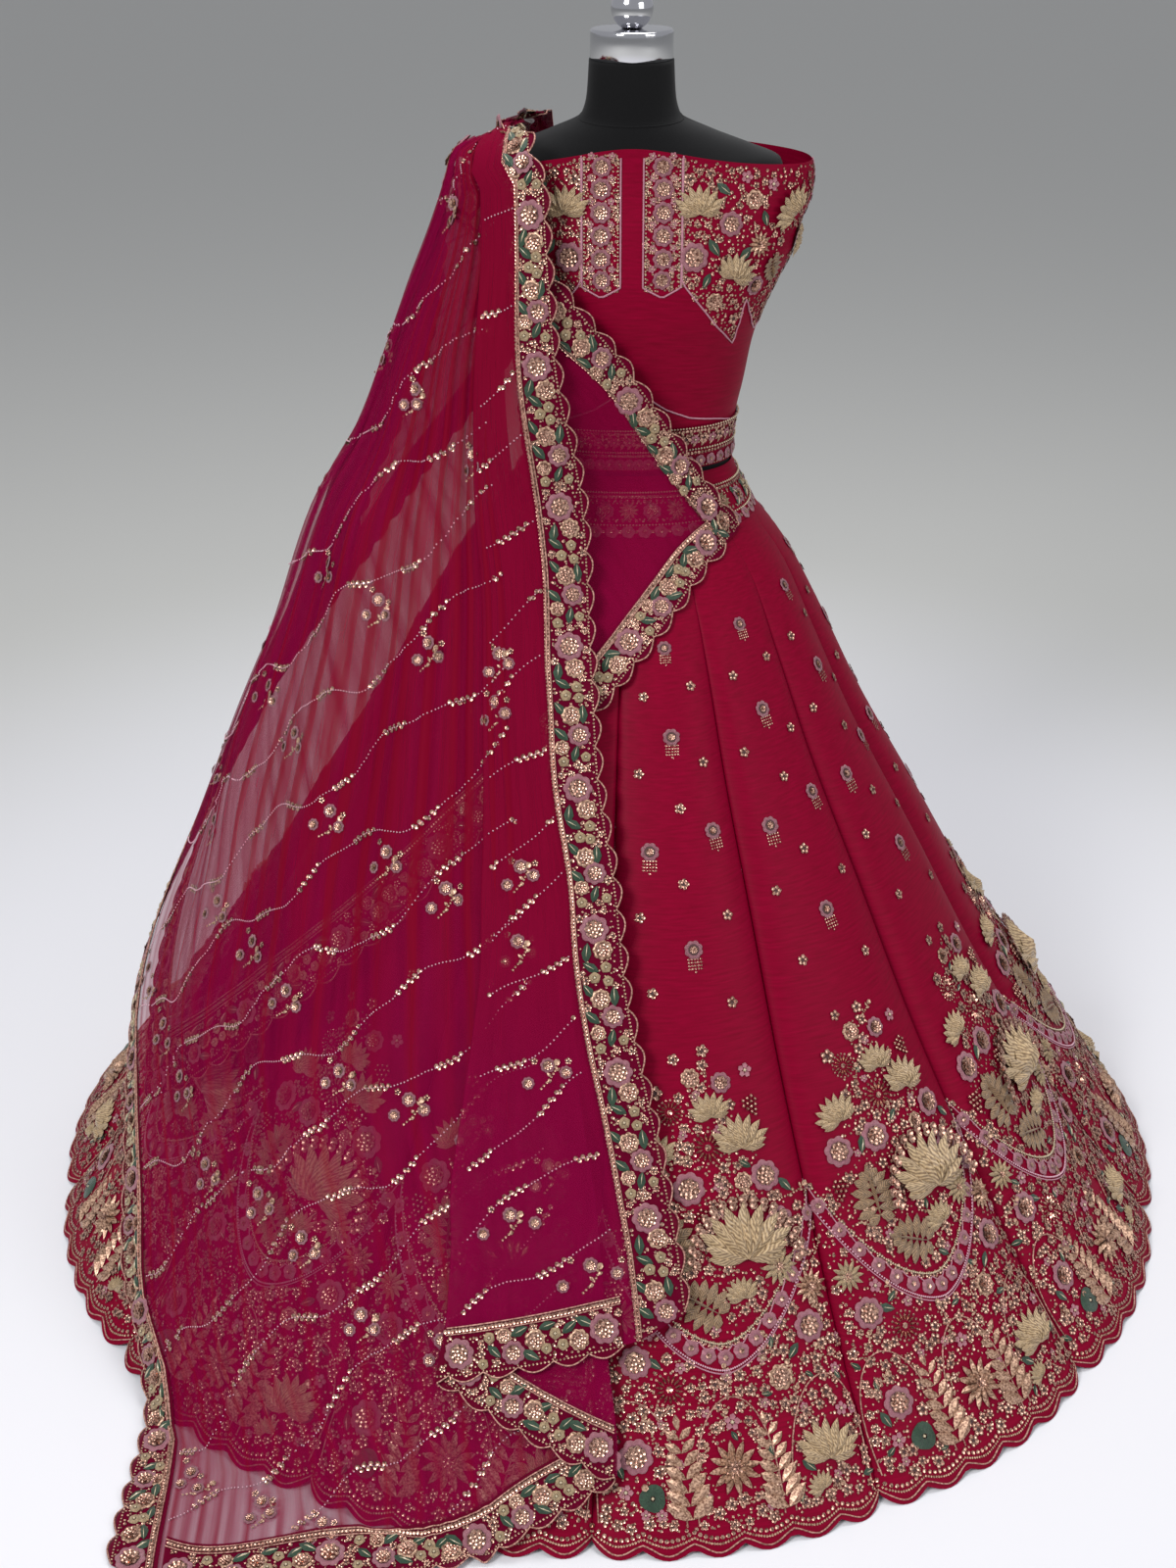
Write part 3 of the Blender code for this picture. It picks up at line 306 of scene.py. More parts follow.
# One skirt panel: motif, metres right of its middle line, metres up from the hem, turn and size.
KALI_MOTIFS = (
    ("pink_rose", -0.118, 0.108, 10, 0.0205), ("green_pad", -0.104, 0.062, 0, 0.0170),
    ("pink_floret", -0.136, 0.066, 0, 0.0090), ("green_leaf", -0.143, 0.094, 30, 0.0110),
    ("sequin_floret", -0.090, 0.092, 0, 0.0085), ("sequin_floret", -0.120, 0.150, 0, 0.0080),
    ("star_flower", 0.000, 0.088, 0, 0.0340), ("pink_floret", 0.000, 0.140, 0, 0.0095),
    ("sequin_floret", -0.026, 0.040, 0, 0.0080), ("sequin_floret", 0.026, 0.040, 0, 0.0080),
    ("ivory_lotus", 0.118, 0.076, -6, 0.0440), ("ivory_lotus", 0.104, 0.046, 20, 0.0200),
    ("green_leaf", 0.146, 0.076, -40, 0.0110), ("green_leaf", 0.088, 0.072, 40, 0.0110),
    ("sequin_floret", 0.122, 0.148, 0, 0.0085), ("pink_floret", 0.143, 0.120, 0, 0.0080),
    ("gold_plume", -0.060, 0.028, 0, 0.1150), ("gold_plume", 0.060, 0.028, 0, 0.1150),
    ("pink_rose", -0.112, 0.212, 30, 0.0200), ("bead_wheel", -0.072, 0.184, 0, 0.0180),
    ("pink_rose", 0.110, 0.222, 0, 0.0190), ("sequin_rose", 0.066, 0.180, 0, 0.0150),
    ("green_leaf", -0.090, 0.212, 60, 0.0110), ("green_leaf", 0.086, 0.204, -50, 0.0110),
    ("ivory_star", -0.122, 0.262, 0, 0.0210), ("star_flower", 0.122, 0.268, 0, 0.0220),
    ("pink_floret", -0.092, 0.244, 0, 0.0085), ("sequin_floret", 0.094, 0.250, 0, 0.0085),
    ("sequin_floret", -0.030, 0.172, 0, 0.0080), ("sequin_floret", 0.026, 0.172, 0, 0.0080),
    ("bronze_leaf", -0.022, 0.276, 60, 0.0370), ("bronze_leaf", -0.056, 0.345, 8, 0.0400),
    ("crowned_lotus", 0.040, 0.318, -8, 0.0700), ("ivory_lotus", 0.030, 0.276, 14, 0.0270),
    ("bead_wheel", 0.000, 0.452, 0, 0.0200), ("ivory_star", 0.082, 0.300, 0, 0.0240),
    ("pink_rose", -0.082, 0.402, 0, 0.0200), ("pink_rose", 0.078, 0.410, 20, 0.0200),
    ("pink_rose", -0.026, 0.410, 0, 0.0195), ("pink_rose", 0.090, 0.352, 0, 0.0175),
    ("ivory_lotus", 0.044, 0.448, -12, 0.0400), ("ivory_lotus", -0.066, 0.440, 16, 0.0340),
    ("ivory_lotus", 0.010, 0.488, 0, 0.0300), ("bead_wheel", -0.040, 0.500, 0, 0.0150),
    ("berry_cluster", -0.098, 0.360, 0, 0.0150), ("berry_cluster", 0.062, 0.496, 10, 0.0140),
    ("berry_cluster", -0.010, 0.376, -20, 0.0140), ("sequin_rose", 0.046, 0.406, 0, 0.0120),
    ("pink_rose", 0.030, 0.528, 0, 0.0140), ("sequin_rose", -0.014, 0.536, 0, 0.0120),
    ("sequin_floret", -0.056, 0.520, 0, 0.0090), ("pink_floret", 0.062, 0.536, 0, 0.0085),
    ("sequin_floret", 0.008, 0.566, 0, 0.0080), ("sequin_floret", -0.030, 0.562, 0, 0.0070),
    ("green_leaf", -0.050, 0.406, -30, 0.0120), ("green_leaf", 0.104, 0.388, 30, 0.0110),
)
# The small motifs above its bouquet, in the same columns.
BUTTI_MOTIFS = (
    ("sequin_floret", -0.052, 0.640, 0, 0.0072), ("sequin_floret", 0.052, 0.620, 0, 0.0072),
    ("fan_tassel", 0.006, 0.690, 0, 0.0150), ("sequin_floret", -0.060, 0.730, 0, 0.0070),
    ("sequin_floret", 0.056, 0.725, 0, 0.0070), ("sequin_floret", 0.000, 0.770, 0, 0.0072),
    ("fan_tassel", -0.040, 0.810, 0, 0.0150), ("fan_tassel", 0.046, 0.830, 0, 0.0140),
    ("sequin_floret", 0.004, 0.862, 0, 0.0070), ("sequin_floret", -0.046, 0.905, 0, 0.0068),
    ("sequin_floret", 0.040, 0.915, 0, 0.0068), ("fan_tassel", 0.000, 0.950, 0, 0.0140),
    ("sequin_floret", -0.032, 1.000, 0, 0.0065), ("sequin_floret", 0.030, 1.010, 0, 0.0065),
    ("fan_tassel", 0.000, 1.060, 0, 0.0120),
)
# What fills the ground between them: motif, spacing, size, margin and largest turn.
KALI_FILL = (
    ("gold_sprig", 0.0420, 0.0300, 0.0040, 55.0),
    ("sequin_floret", 0.0172, 0.0068, 0.0038, 180.0),
    ("pink_floret", 0.0520, 0.0060, 0.0040, 180.0),
    ("green_leaf", 0.0600, 0.0078, 0.0040, 180.0),
    ("seed", 0.0092, 0.0016, 0.0, 180.0),
    ("sequin", 0.0150, 0.0022, 0.0010, 180.0),
)
KALI_FILL_WIDTH = 0.36
KALI_FILL_HEIGHTS = (0.024, 0.58)
GARLAND_LOW = 0.198
GARLAND_RISE = 0.150
GARLAND_POWER = 1.7
GARLAND_LEVEL = 0.27
GARLAND_SHELLS = 15
GARLAND_FLORETS = 30
BOUQUET_LOW = 0.350
BOUQUET_RISE = 0.205
BOUQUET_SPREAD = 0.070
ARCH_MIDDLES = (-0.118, 0.0, 0.118)

# The share of a motif's size that nothing else may be sewn on.
TAKEN_SHARES = {
    "pink_rose": 1.0, "sequin_rose": 1.0, "green_pad": 1.0, "star_flower": 0.95, "ivory_star": 0.95,
    "bead_wheel": 1.05, "bronze_leaf": 0.80, "berry_cluster": 0.9, "pink_floret": 1.0,
    "sequin_floret": 1.0, "green_leaf": 0.8, "ivory_bud": 1.0,
}

# A border's repeat: motif, metres in from its edge, metres along it, turn and size.
BORDER_UNIT = 0.172
BORDER_MOTIFS = (
    ("pink_rose", 0.0250, 0.020, 0, 0.0180), ("sequin_rose", 0.0180, 0.050, 0, 0.0125),
    ("green_leaf", 0.0370, 0.046, -25, 0.0120), ("green_leaf", 0.0340, 0.062, 40, 0.0110),
    ("ivory_bud", 0.0170, 0.070, 0, 0.0072), ("ivory_bud", 0.0300, 0.078, 0, 0.0074),
    ("ivory_bud", 0.0170, 0.088, 0, 0.0068), ("green_leaf", 0.0400, 0.090, 20, 0.0105),
    ("sequin_rose", 0.0270, 0.104, 0, 0.0125), ("green_leaf", 0.0120, 0.106, -20, 0.0120),
    ("pink_rose", 0.0180, 0.129, 0, 0.0140), ("green_leaf", 0.0400, 0.122, 30, 0.0115),
    ("sequin_rose", 0.0370, 0.140, 0, 0.0095), ("green_leaf", 0.0220, 0.152, -35, 0.0105),
    ("ivory_bud", 0.0380, 0.158, 0, 0.0070), ("ivory_bud", 0.0100, 0.160, 0, 0.0066),
)
BORDER_CORDS = (0.0550, 0.0470)

# The choli's front, in metres right of its middle line and metres of height.
PLAQUE_FLOWERS = (
    (0.036, 1.392, 0.0125), (0.037, 1.367, 0.0130), (0.037, 1.341, 0.0130),
    (0.037, 1.315, 0.0130), (0.037, 1.289, 0.0125), (0.036, 1.265, 0.0115),
)
PLAQUE = ((0.0135, 1.402), (0.0135, 1.256), (0.0365, 1.244), (0.0590, 1.256), (0.0590, 1.402))
PANEL = (
    (0.060, 1.404), (0.060, 1.262), (0.126, 1.178), (0.140, 1.236), (0.153, 1.190),
    (0.200, 1.230), (0.235, 1.392),
)
PANEL_MOTIFS = (
    ("ivory_lotus", 0.080, 1.338, 8, 0.0340), ("ivory_lotus", 0.122, 1.262, -20, 0.0320),
    ("pink_rose", 0.074, 1.290, 0, 0.0180), ("pink_rose", 0.118, 1.326, 20, 0.0150),
    ("ivory_lotus", 0.196, 1.330, 50, 0.0360), ("ivory_lotus", 0.205, 1.296, 100, 0.0260),
    ("sequin_rose", 0.146, 1.352, 0, 0.0120), ("sequin_rose", 0.100, 1.236, 0, 0.0115),
    ("star_flower", 0.154, 1.300, 0, 0.0170), ("pink_rose", 0.150, 1.250, 0, 0.0130),
    ("green_leaf", 0.098, 1.300, 40, 0.0120), ("green_leaf", 0.136, 1.290, -40, 0.0120),
    ("green_leaf", 0.108, 1.366, 60, 0.0110), ("green_leaf", 0.090, 1.262, -20, 0.0100),
    ("bronze_leaf", 0.172, 1.268, 200, 0.0190), ("sequin_floret", 0.068, 1.378, 0, 0.0080),
    ("sequin_floret", 0.124, 1.212, 0, 0.0080), ("pink_floret", 0.136, 1.378, 0, 0.0075),
    ("sequin_floret", 0.092, 1.384, 0, 0.0070), ("pink_floret", 0.168, 1.368, 0, 0.0080),
    ("green_leaf", 0.160, 1.330, 20, 0.0100), ("sequin_floret", 0.180, 1.300, 0, 0.0070),
)
WAIST_CURVE = ((0.004, 1.131), (0.016, 1.120), (0.045, 1.100), (0.075, 1.087), (0.110, 1.080), (0.137, 1.070))
CHOLI_FILL = (("sequin_floret", 0.0125, 0.0046), ("seed", 0.0060, 0.0014), ("sequin", 0.0088, 0.0020))
PLAQUE_LINES = ((0.0165, "pearl", 0.0013), (0.0565, "pearl", 0.0013), (0.0610, "sequin", 0.0021))

# Level rows round a band: motif, spacing, metres up, size, turn and shift along the row.
CHOLI_BAND_STITCHES = (
    ("pearl", 0.0040, 0.0545, 0.0017, 0, 0.5), ("sequin", 0.0048, 0.0500, 0.0022, 0, 0.5),
    ("sequin_floret", 0.0240, 0.0395, 0.0078, 0, 0.5), ("pink_floret", 0.0240, 0.0385, 0.0066, 0, 0.0),
    ("gold_leaf", 0.0120, 0.0465, 0.0040, 30, 0.5), ("gold_leaf", 0.0120, 0.0315, 0.0040, -30, 0.0),
    ("pearl", 0.0040, 0.0250, 0.0017, 0, 0.5), ("sequin", 0.0048, 0.0200, 0.0021, 0, 0.5),
    ("pink_shell", 0.0150, 0.0090, 0.0075, 180, 0.5), ("seed", 0.0040, 0.0030, 0.0014, 0, 0.5),
    ("seed", 0.0050, 0.0440, 0.0014, 0, 0.3), ("seed", 0.0050, 0.0340, 0.0014, 0, 0.8),
)
WAISTBAND_STITCHES = (
    ("pearl", 0.0042, 0.0560, 0.0018, 0, 0.5), ("sequin", 0.0050, 0.0510, 0.0023, 0, 0.5),
    ("ivory_star", 0.0640, 0.0340, 0.0135, 0, 0.5), ("pink_rose", 0.0640, 0.0330, 0.0120, 0, 0.0),
    ("green_leaf", 0.0320, 0.0400, 0.0095, 40, 0.5), ("green_leaf", 0.0320, 0.0270, 0.0095, -40, 0.5),
    ("sequin_floret", 0.0320, 0.0330, 0.0060, 0, 0.5), ("sequin", 0.0090, 0.0460, 0.0020, 0, 0.2),
    ("sequin", 0.0090, 0.0210, 0.0020, 0, 0.7), ("seed", 0.0060, 0.0430, 0.0014, 0, 0.1),
    ("seed", 0.0060, 0.0230, 0.0014, 0, 0.6), ("pearl", 0.0042, 0.0155, 0.0017, 0, 0.5),
    ("pink_shell", 0.0200, 0.0075, 0.0090, 180, 0.5), ("sequin", 0.0200, 0.0075, 0.0026, 0, 0.0),
)

# The net's beaded lines: how steeply they fall, and where each starts.
VINE_SLOPE = 0.50
NET_SPRIG = (
    ("pink_rose", 0.002, 0.036, 0.0092), ("pink_rose", -0.013, 0.016, 0.0078),
    ("pink_rose", 0.015, 0.018, 0.0080),
    ("sequin_floret", -0.008, 0.048, 0.0044), ("sequin_floret", 0.018, 0.034, 0.0042),
)
VINE_STARTS = tuple(0.09 + 0.104 * n for n in range(17))

FLOOR_WHITE_TO = 1.0
FLOOR_GREY_FROM = 2.4
FLOOR_HALF = 30.0
FLOOR_LEVEL = -0.0006
WORLD_STRENGTH = 0.44
CAMERA_PLACE = (-0.052, -2.408, 1.792)
CAMERA_TILT = 62.17
CAMERA_LENS = 43.62
CAMERA_SENSOR = 36.0
# Each lamp's name, place, the height it is aimed at, size in metres and power in watts.
LIGHTS = (
    ("key_light", (-2.2, -3.0, 3.6), 0.8, 1.3, 118.0),
    ("fill_light", (3.0, -2.4, 2.4), 0.7, 1.8, 40.0),
    ("top_light", (0.3, 0.6, 4.0), 0.5, 1.6, 56.0),
)


def smooth(keys, values, key):
    """Follow a table's column smoothly; values may hold one column for each point."""
    keys = np.asarray(keys, float)
    values = np.asarray(values, float)
    key = np.clip(np.asarray(key, float), keys[0], keys[-1])
    low = np.clip(np.searchsorted(keys, key, side="right") - 1, 0, len(keys) - 2)
    spans = np.diff(keys)
    rises = np.diff(values, axis=0) / (spans if values.ndim == 1 else spans[:, None])

    def pick(rows, index):
        return rows[index] if rows.ndim == 1 else rows[index, np.arange(rows.shape[1])]

    def slope(index):
        before = pick(rises, np.maximum(index - 1, 0))
        after = pick(rises, np.minimum(index, len(keys) - 2))
        product = before * after
        total = np.where(np.abs(before + after) < 1e-12, 1.0, before + after)
        return np.where(product > 0.0, 2.0 * product / total, 0.0)

    span = spans[low]
    x = (key - keys[low]) / span
    start = (1.0 + 2.0 * x) * (1.0 - x) ** 2 * pick(values, low) + x * (1.0 - x) ** 2 * span * slope(low)
    end = x * x * (3.0 - 2.0 * x) * pick(values, low + 1) - x * x * (1.0 - x) * span * slope(low + 1)
    return start + end


class Table:
    """Rows of a short table, read at any values of its first column."""

    def __init__(self, columns, rows):
        ordered = np.array(sorted(rows), float)
        self.keys = ordered[:, 0]
        self.values = {name: ordered[:, i] for i, name in enumerate(columns)}

    def at(self, name, key):
        return smooth(self.keys, self.values[name], key)


FORM = Table(FORM_COLUMNS, FORM_SECTIONS)
CHOLI = Table(CHOLI_COLUMNS, CHOLI_SECTIONS)
SKIRT = Table(SKIRT_COLUMNS, SKIRT_SECTIONS)
CREASE = Table(CREASE_COLUMNS, CREASE_SECTIONS)
TENT = Table(TENT_COLUMNS, TENT_SECTIONS)
FALL = Table(FALL_COLUMNS, FALL_SECTIONS)
FALL_FOOT = Table(FALL_END_COLUMNS, FALL_END)
PLEATS = Table(PLEAT_COLUMNS, PLEAT_SECTIONS)
UNDER_RIGHT = Table(EDGE_COLUMNS, UNDER_RIGHT_EDGE)
UNDER_LEFT = Table(EDGE_COLUMNS, UNDER_LEFT_EDGE)
UNDER_FOOT = Table(EDGE_COLUMNS, UNDER_END)


def mix(a, b, share):
    return a + (b - a) * share


def ease(share):
    share = np.clip(share, 0.0, 1.0)
    return share * share * (3.0 - 2.0 * share)


def unit(vectors):
    return vectors / np.maximum(np.linalg.norm(vectors, axis=-1, keepdims=True), 1e-12)


def oval(azimuth, half_width, half_depth, squareness):
    across = np.abs(np.sin(azimuth * DEGREE)) / half_width
    along = np.abs(np.cos(azimuth * DEGREE)) / half_depth
    return (across ** squareness + along ** squareness) ** (-1.0 / squareness)


def around(azimuth, radius, height, centre=(0.0, 0.0)):
    """Points at a distance from an upright centre line."""
    x = centre[0] + radius * np.sin(azimuth * DEGREE)
    y = centre[1] - radius * np.cos(azimuth * DEGREE)
    return np.stack(np.broadcast_arrays(x, y, height), axis=-1)


def depth_of(table, azimuth, height):
    """Half the depth of a body's oval, on the side that the azimuth faces."""
    forward = np.cos(azimuth * DEGREE) >= 0.0
    return np.where(forward, table.at("front", height), table.at("back", height))


def form_point(azimuth, height):
    """Points on the form, just outside its solid."""
    radius = oval(azimuth, FORM.at("half_width", height), depth_of(FORM, azimuth, height), FORM_SQUARENESS)
    return around(azimuth, radius + FORM_LIFT, height)


def choli_point(azimuth, height):
    sideways = np.sin(azimuth * DEGREE) >= 0.0
    half_width = np.where(sideways, CHOLI.at("right", height), CHOLI.at("left", height))
    radius = oval(azimuth, half_width, depth_of(CHOLI, azimuth, height), FORM_SQUARENESS)
    return around(azimuth, radius, height)


def choli_top(azimuth):
    forward = np.cos(azimuth * DEGREE) >= 0.0
    return CHOLI_TOP_SIDE + np.where(forward, 0.0260, 0.0180) * np.cos(azimuth * DEGREE) ** 2


def skirt_centre(height):
    share = 1.0 - np.clip(height / WAIST_TOP, 0.0, 1.0)
    return HEM_CENTRE[0] * share, HEM_CENTRE[1] * share


def skirt_round(azimuth, height):
    """The skirt's radius before its creases, with its few broad folds."""
    low, high = SQUARE_HEIGHTS
    squareness = mix(HEM_SQUARENESS, FORM_SQUARENESS, ease((height - low) / (high - low)))
    radius = oval(azimuth, SKIRT.at("half_width", height), depth_of(SKIRT, azimuth, height), squareness)
    for middle, half_spread, level, half_height, swell in BROAD_FOLDS:
        turn = np.abs((azimuth - middle + 180.0) % 360.0 - 180.0) / half_spread
        rise = np.abs(height - level) / half_height
        inside = (turn < 1.0) & (rise < 1.0)
        bulge = swell * np.cos(turn * math.pi / 2.0) ** 2 * np.cos(rise * math.pi / 2.0) ** 2
        radius = radius + np.where(inside, bulge, 0.0)
    return radius


def skirt_point(azimuth, height, out=0.0):
    """Points of the skirt, with the crease at each seam; out is 0 on its outer face."""
    across = ((azimuth - FIRST_KALI_MIDDLE) / KALI_PITCH + 0.5) % 1.0
    radius = skirt_round(azimuth, height)
    to_seam = np.minimum(across, 1.0 - across) * KALI_PITCH * DEGREE * radius
    crease = CREASE.at("crease", height) * np.exp(-to_seam / CREASE_WIDTH)
    belly = CREASE.at("belly", height) * (2.0 * across - 1.0) ** 2
    return around(azimuth, radius - crease - belly + out, height, skirt_centre(height))


def drape_radius(azimuth, height):
    """How far out the dupatta's surface lies: on the skirt, or tented clear of it."""
    flat_azimuth, flat_height = (np.ravel(part) for part in np.broadcast_arrays(azimuth, height))
    columns = np.array([TENT.at(name, flat_height) for name in TENT_COLUMNS[1:]])
    tent = smooth(TENT_AZIMUTHS, columns, flat_azimuth)
    radius = np.maximum(tent, skirt_round(flat_azimuth, flat_height) + SKIRT_CLEARANCE)
    return radius.reshape(np.broadcast(azimuth, height).shape)


def drape_base(azimuth, height):
    """The dupatta's surface, which runs out over the floor at heights below zero."""
    level = np.maximum(height, 0.0)
    radius = drape_radius(azimuth, level) + np.maximum(-height, 0.0)
    return around(azimuth, radius, level, skirt_centre(level))


def drape_point(azimuth, height, layer):
    """Points of a layer above that surface, coming down to the floor past the hem."""
    step = 0.004
    turn = step / drape_radius(azimuth, np.maximum(height, 0.0)) / DEGREE
    east = drape_base(azimuth + turn, height) - drape_base(azimuth - turn, height)
    rise = drape_base(azimuth, height + step) - drape_base(azimuth, height - step)
    normal = unit(np.cross(east, rise))
    on_floor = ease(-height / 0.050)
    return drape_base(azimuth, height) + normal * mix(layer, 0.0013, on_floor)[..., None]


class Cloth:
    """A grid of points on a cloth's right side: rows run up it, columns across it."""

    def __init__(self, points, shares=None):
        self.points = np.asarray(points, float)
        self.widths = np.linalg.norm(np.diff(self.points, axis=1), axis=2).sum(axis=1)
        steps = np.linalg.norm(np.diff(self.points, axis=0), axis=2).mean(axis=1)
        self.ups = np.concatenate([[0.0], np.cumsum(steps)])
        self.shares = np.linspace(0.0, 1.0, self.points.shape[1]) if shares is None else np.asarray(shares)
        east = np.gradient(self.points, axis=1)
        north = np.gradient(self.points, axis=0)
        self.east = unit(east)
        self.normal = unit(np.cross(east, north))

    def lifted(self, lift):
        return self.points + self.normal * lift

    def at(self, across, up):
        """Places on the cloth from the share across and the metres up: point, east, normal."""
        row = np.interp(up, self.ups, np.arange(len(self.ups)))
        column = np.interp(across, self.shares, np.arange(len(self.shares)))
        r0 = np.minimum(row.astype(int), len(self.ups) - 2)
        c0 = np.minimum(column.astype(int), len(self.shares) - 2)
        fr = (row - r0)[..., None]
        fc = (column - c0)[..., None]

        def read(grid):
            low = mix(grid[r0, c0], grid[r0, c0 + 1], fc)
            high = mix(grid[r0 + 1, c0], grid[r0 + 1, c0 + 1], fc)
            return mix(low, high, fr)

        return read(self.points), unit(read(self.east)), unit(read(self.normal))

    def line(self, across, up, lift):
        """Points of a line laid on the cloth, lifted clear of it."""
        point, _, normal = self.at(across, up)
        return point + normal * lift

    def from_middle(self, x, up):
        """The share across at metres to the right of the middle line."""
        return 0.5 + np.asarray(x) / np.interp(up, self.ups, self.widths)


class Spots:
    """Places where one kind of piece is sewn: point, turn as Euler angles, and size."""

    def __init__(self):
        self.points = []
        self.turns = []
        self.sizes = []

    def add(self, cloth, across, up, turn, size, lift=STITCH_LIFT):
        across, up, turn, size = np.broadcast_arrays(
            *(np.atleast_1d(np.asarray(part, float)) for part in (across, up, turn, size)))
        point, east, normal = cloth.at(across, up)
        north = np.cross(normal, east)
        angle = (turn * DEGREE)[:, None]
        x_axis = np.cos(angle) * east + np.sin(angle) * north
        y_axis = np.cross(normal, x_axis)
        euler = np.stack([
            np.arctan2(y_axis[:, 2], normal[:, 2]),
            np.arcsin(np.clip(-x_axis[:, 2], -1.0, 1.0)),
            np.arctan2(x_axis[:, 1], x_axis[:, 0]),
        ], axis=1)
        self.points.append(point + normal * lift)
        self.turns.append(euler)
        self.sizes.append(size)

    def arrays(self):
        return np.concatenate(self.points), np.concatenate(self.turns), np.concatenate(self.sizes)


# Cloth surfaces.


def kali_cloth(index):
    """One skirt panel's right side, from its hem up to the waistband."""
    middle = FIRST_KALI_MIDDLE + index * KALI_PITCH
    across = 0.5 - 0.5 * np.cos(np.linspace(0.0, math.pi, 61)) * (1.0 - 1e-9)
    heights = np.concatenate([[0.0, 0.012, 0.030, 0.055], np.linspace(0.08, WAIST_BOTTOM, 46)])
    azimuth = middle + (across - 0.5) * KALI_PITCH * 0.9988
    grid_azimuth, grid_height = np.meshgrid(azimuth, heights)
    grid_height[0] = hem_rise(across)
    to_seam = np.minimum(across, 1.0 - across) * 0.36
    valley = -0.0045 * np.exp(-to_seam / 0.0035) * np.clip(CREASE.at("crease", grid_height) / 0.013, 0.0, 1.0)
    soft = 0.0022 * np.sin(7.0 * grid_height + 2.3 * index) * np.sin(2.0 * math.pi * across + 1.1 * index)
    soft = soft * ease(grid_height / 0.3) * ease((WAIST_BOTTOM - grid_height) / 0.2)
    soft = soft * ease(across / 0.15) * ease((1.0 - across) / 0.15)
    return Cloth(skirt_point(grid_azimuth, grid_height, valley + soft), across)


def hem_rise(across):
    """How far above the floor the scalloped hem lies."""
    return HEM_SCALLOP_DEPTH * (1.0 - np.abs(np.sin(math.pi * HEM_SCALLOPS * across)))


def waistband_cloth():
    azimuth = np.linspace(-180.0, 180.0, 169)
    heights = np.linspace(WAIST_BOTTOM + 0.0003, WAIST_TOP, 12)
    return Cloth(skirt_point(*np.meshgrid(azimuth, heights)))


def choli_cloth(low_azimuth, high_azimuth, low, high, rows):
    azimuth = np.linspace(low_azimuth, high_azimuth, 97)
    share = np.linspace(0.0, 1.0, rows)[:, None]
    top = choli_top(azimuth) if high is None else np.full(azimuth.shape, high)
    heights = mix(low, top[None, :], share)
    points = choli_point(np.broadcast_to(azimuth, heights.shape), heights)
    return Cloth(points)


def fall_columns():
    """The front fall's columns: zone number, share of the zone and share of the width."""
    border, turn = np.linspace(0.0, 1.0, 5), np.linspace(0.0, 1.0, 7)
    columns = [(0, s, 0.055 * s) for s in border]
    columns += [(1, s, mix(0.055, 0.16, s)) for s in np.linspace(0.0, 1.0, 14)[1:-1]]
    columns += [(2, s, 0.16) for s in turn]
    columns += [(3, s, mix(0.16, 0.30, s)) for s in np.linspace(0.0, 1.0, 9)[1:-1]]
    columns += [(4, s, 0.30) for s in turn]
    columns += [(5, s, mix(0.30, 0.945, s)) for s in np.linspace(0.0, 1.0, 121)[1:-1]]
    columns += [(6, s, mix(0.945, 1.0, s)) for s in border]
    return np.array(columns)


def place_on_fall(columns, edges, per_metre):
    """Places of the columns between the fall's edges, and their layers."""
    zone, share = columns[:, 0], columns[:, 1]
    right, left_fold, right_fold, left = edges
    onward = np.where(left_fold > right, 1.0, -1.0) * per_metre
    left_way = np.where(left > right_fold, 1.0, -1.0)
    angle = math.pi * share
    width = np.minimum(BORDER * per_metre, 0.45 * np.abs(left_fold - right)) * np.sign(onward)
    left_width = np.minimum(BORDER * per_metre, 0.2 * np.abs(left - right_fold)) * left_way
    upper = 0.5 * (TOP_LAYER - MIDDLE_LAYER)
    lower = 0.5 * (MIDDLE_LAYER - BOTTOM_LAYER)
    place = np.select(
        [zone == 0, zone == 1, zone == 2, zone == 3, zone == 4, zone == 5],
        [right + width * share,
         mix(right + width, left_fold, share),
         left_fold + onward * upper * np.sin(angle),
         mix(left_fold, right_fold, share),
         right_fold - onward * lower * np.sin(angle),
         mix(right_fold, left - left_width, share)],
        mix(left - left_width, left, share))
    layer = np.select(
        [zone <= 1, zone == 2, zone == 3, zone == 4],
        [np.full(share.shape, TOP_LAYER),
         0.5 * (TOP_LAYER + MIDDLE_LAYER) + upper * np.cos(angle),
         np.full(share.shape, MIDDLE_LAYER),
         0.5 * (MIDDLE_LAYER + BOTTOM_LAYER) + lower * np.cos(angle)],
        np.full(share.shape, BOTTOM_LAYER))
    return place, layer


def ridge_heights(columns):
    place = place_on_fall(columns, RIDGE_EDGES, 1.0 / RIDGE_LENGTH)[0]
    return mix(*RIDGE_HEIGHTS, place)


def per_metre_at(azimuth, height):
    return 1.0 / (drape_radius(azimuth, np.maximum(height, 0.0)) * DEGREE)


def up_the_cloth(azimuth, height, distance):
    for _ in range(8):
        probe = 0.002
        length = np.linalg.norm(drape_base(azimuth, height + probe) - drape_base(azimuth, height), axis=-1)
        height = height + probe * (distance / 8) / length
    return height


def fine_folds(across, height):
    """The net's fine folds, which fan from the shoulder, from -1 to 1."""
    share = np.clip((across - 0.30) / 0.70, 0.0, 1.0)
    drift = share + 0.030 * np.sin(7.0 * share + 0.6) + 0.004 * np.sin(9.0 * height)
    return (np.sin(2.0 * math.pi * 23.0 * drift) + 0.6 * np.sin(2.0 * math.pi * 37.0 * drift + 1.3)) / 1.6


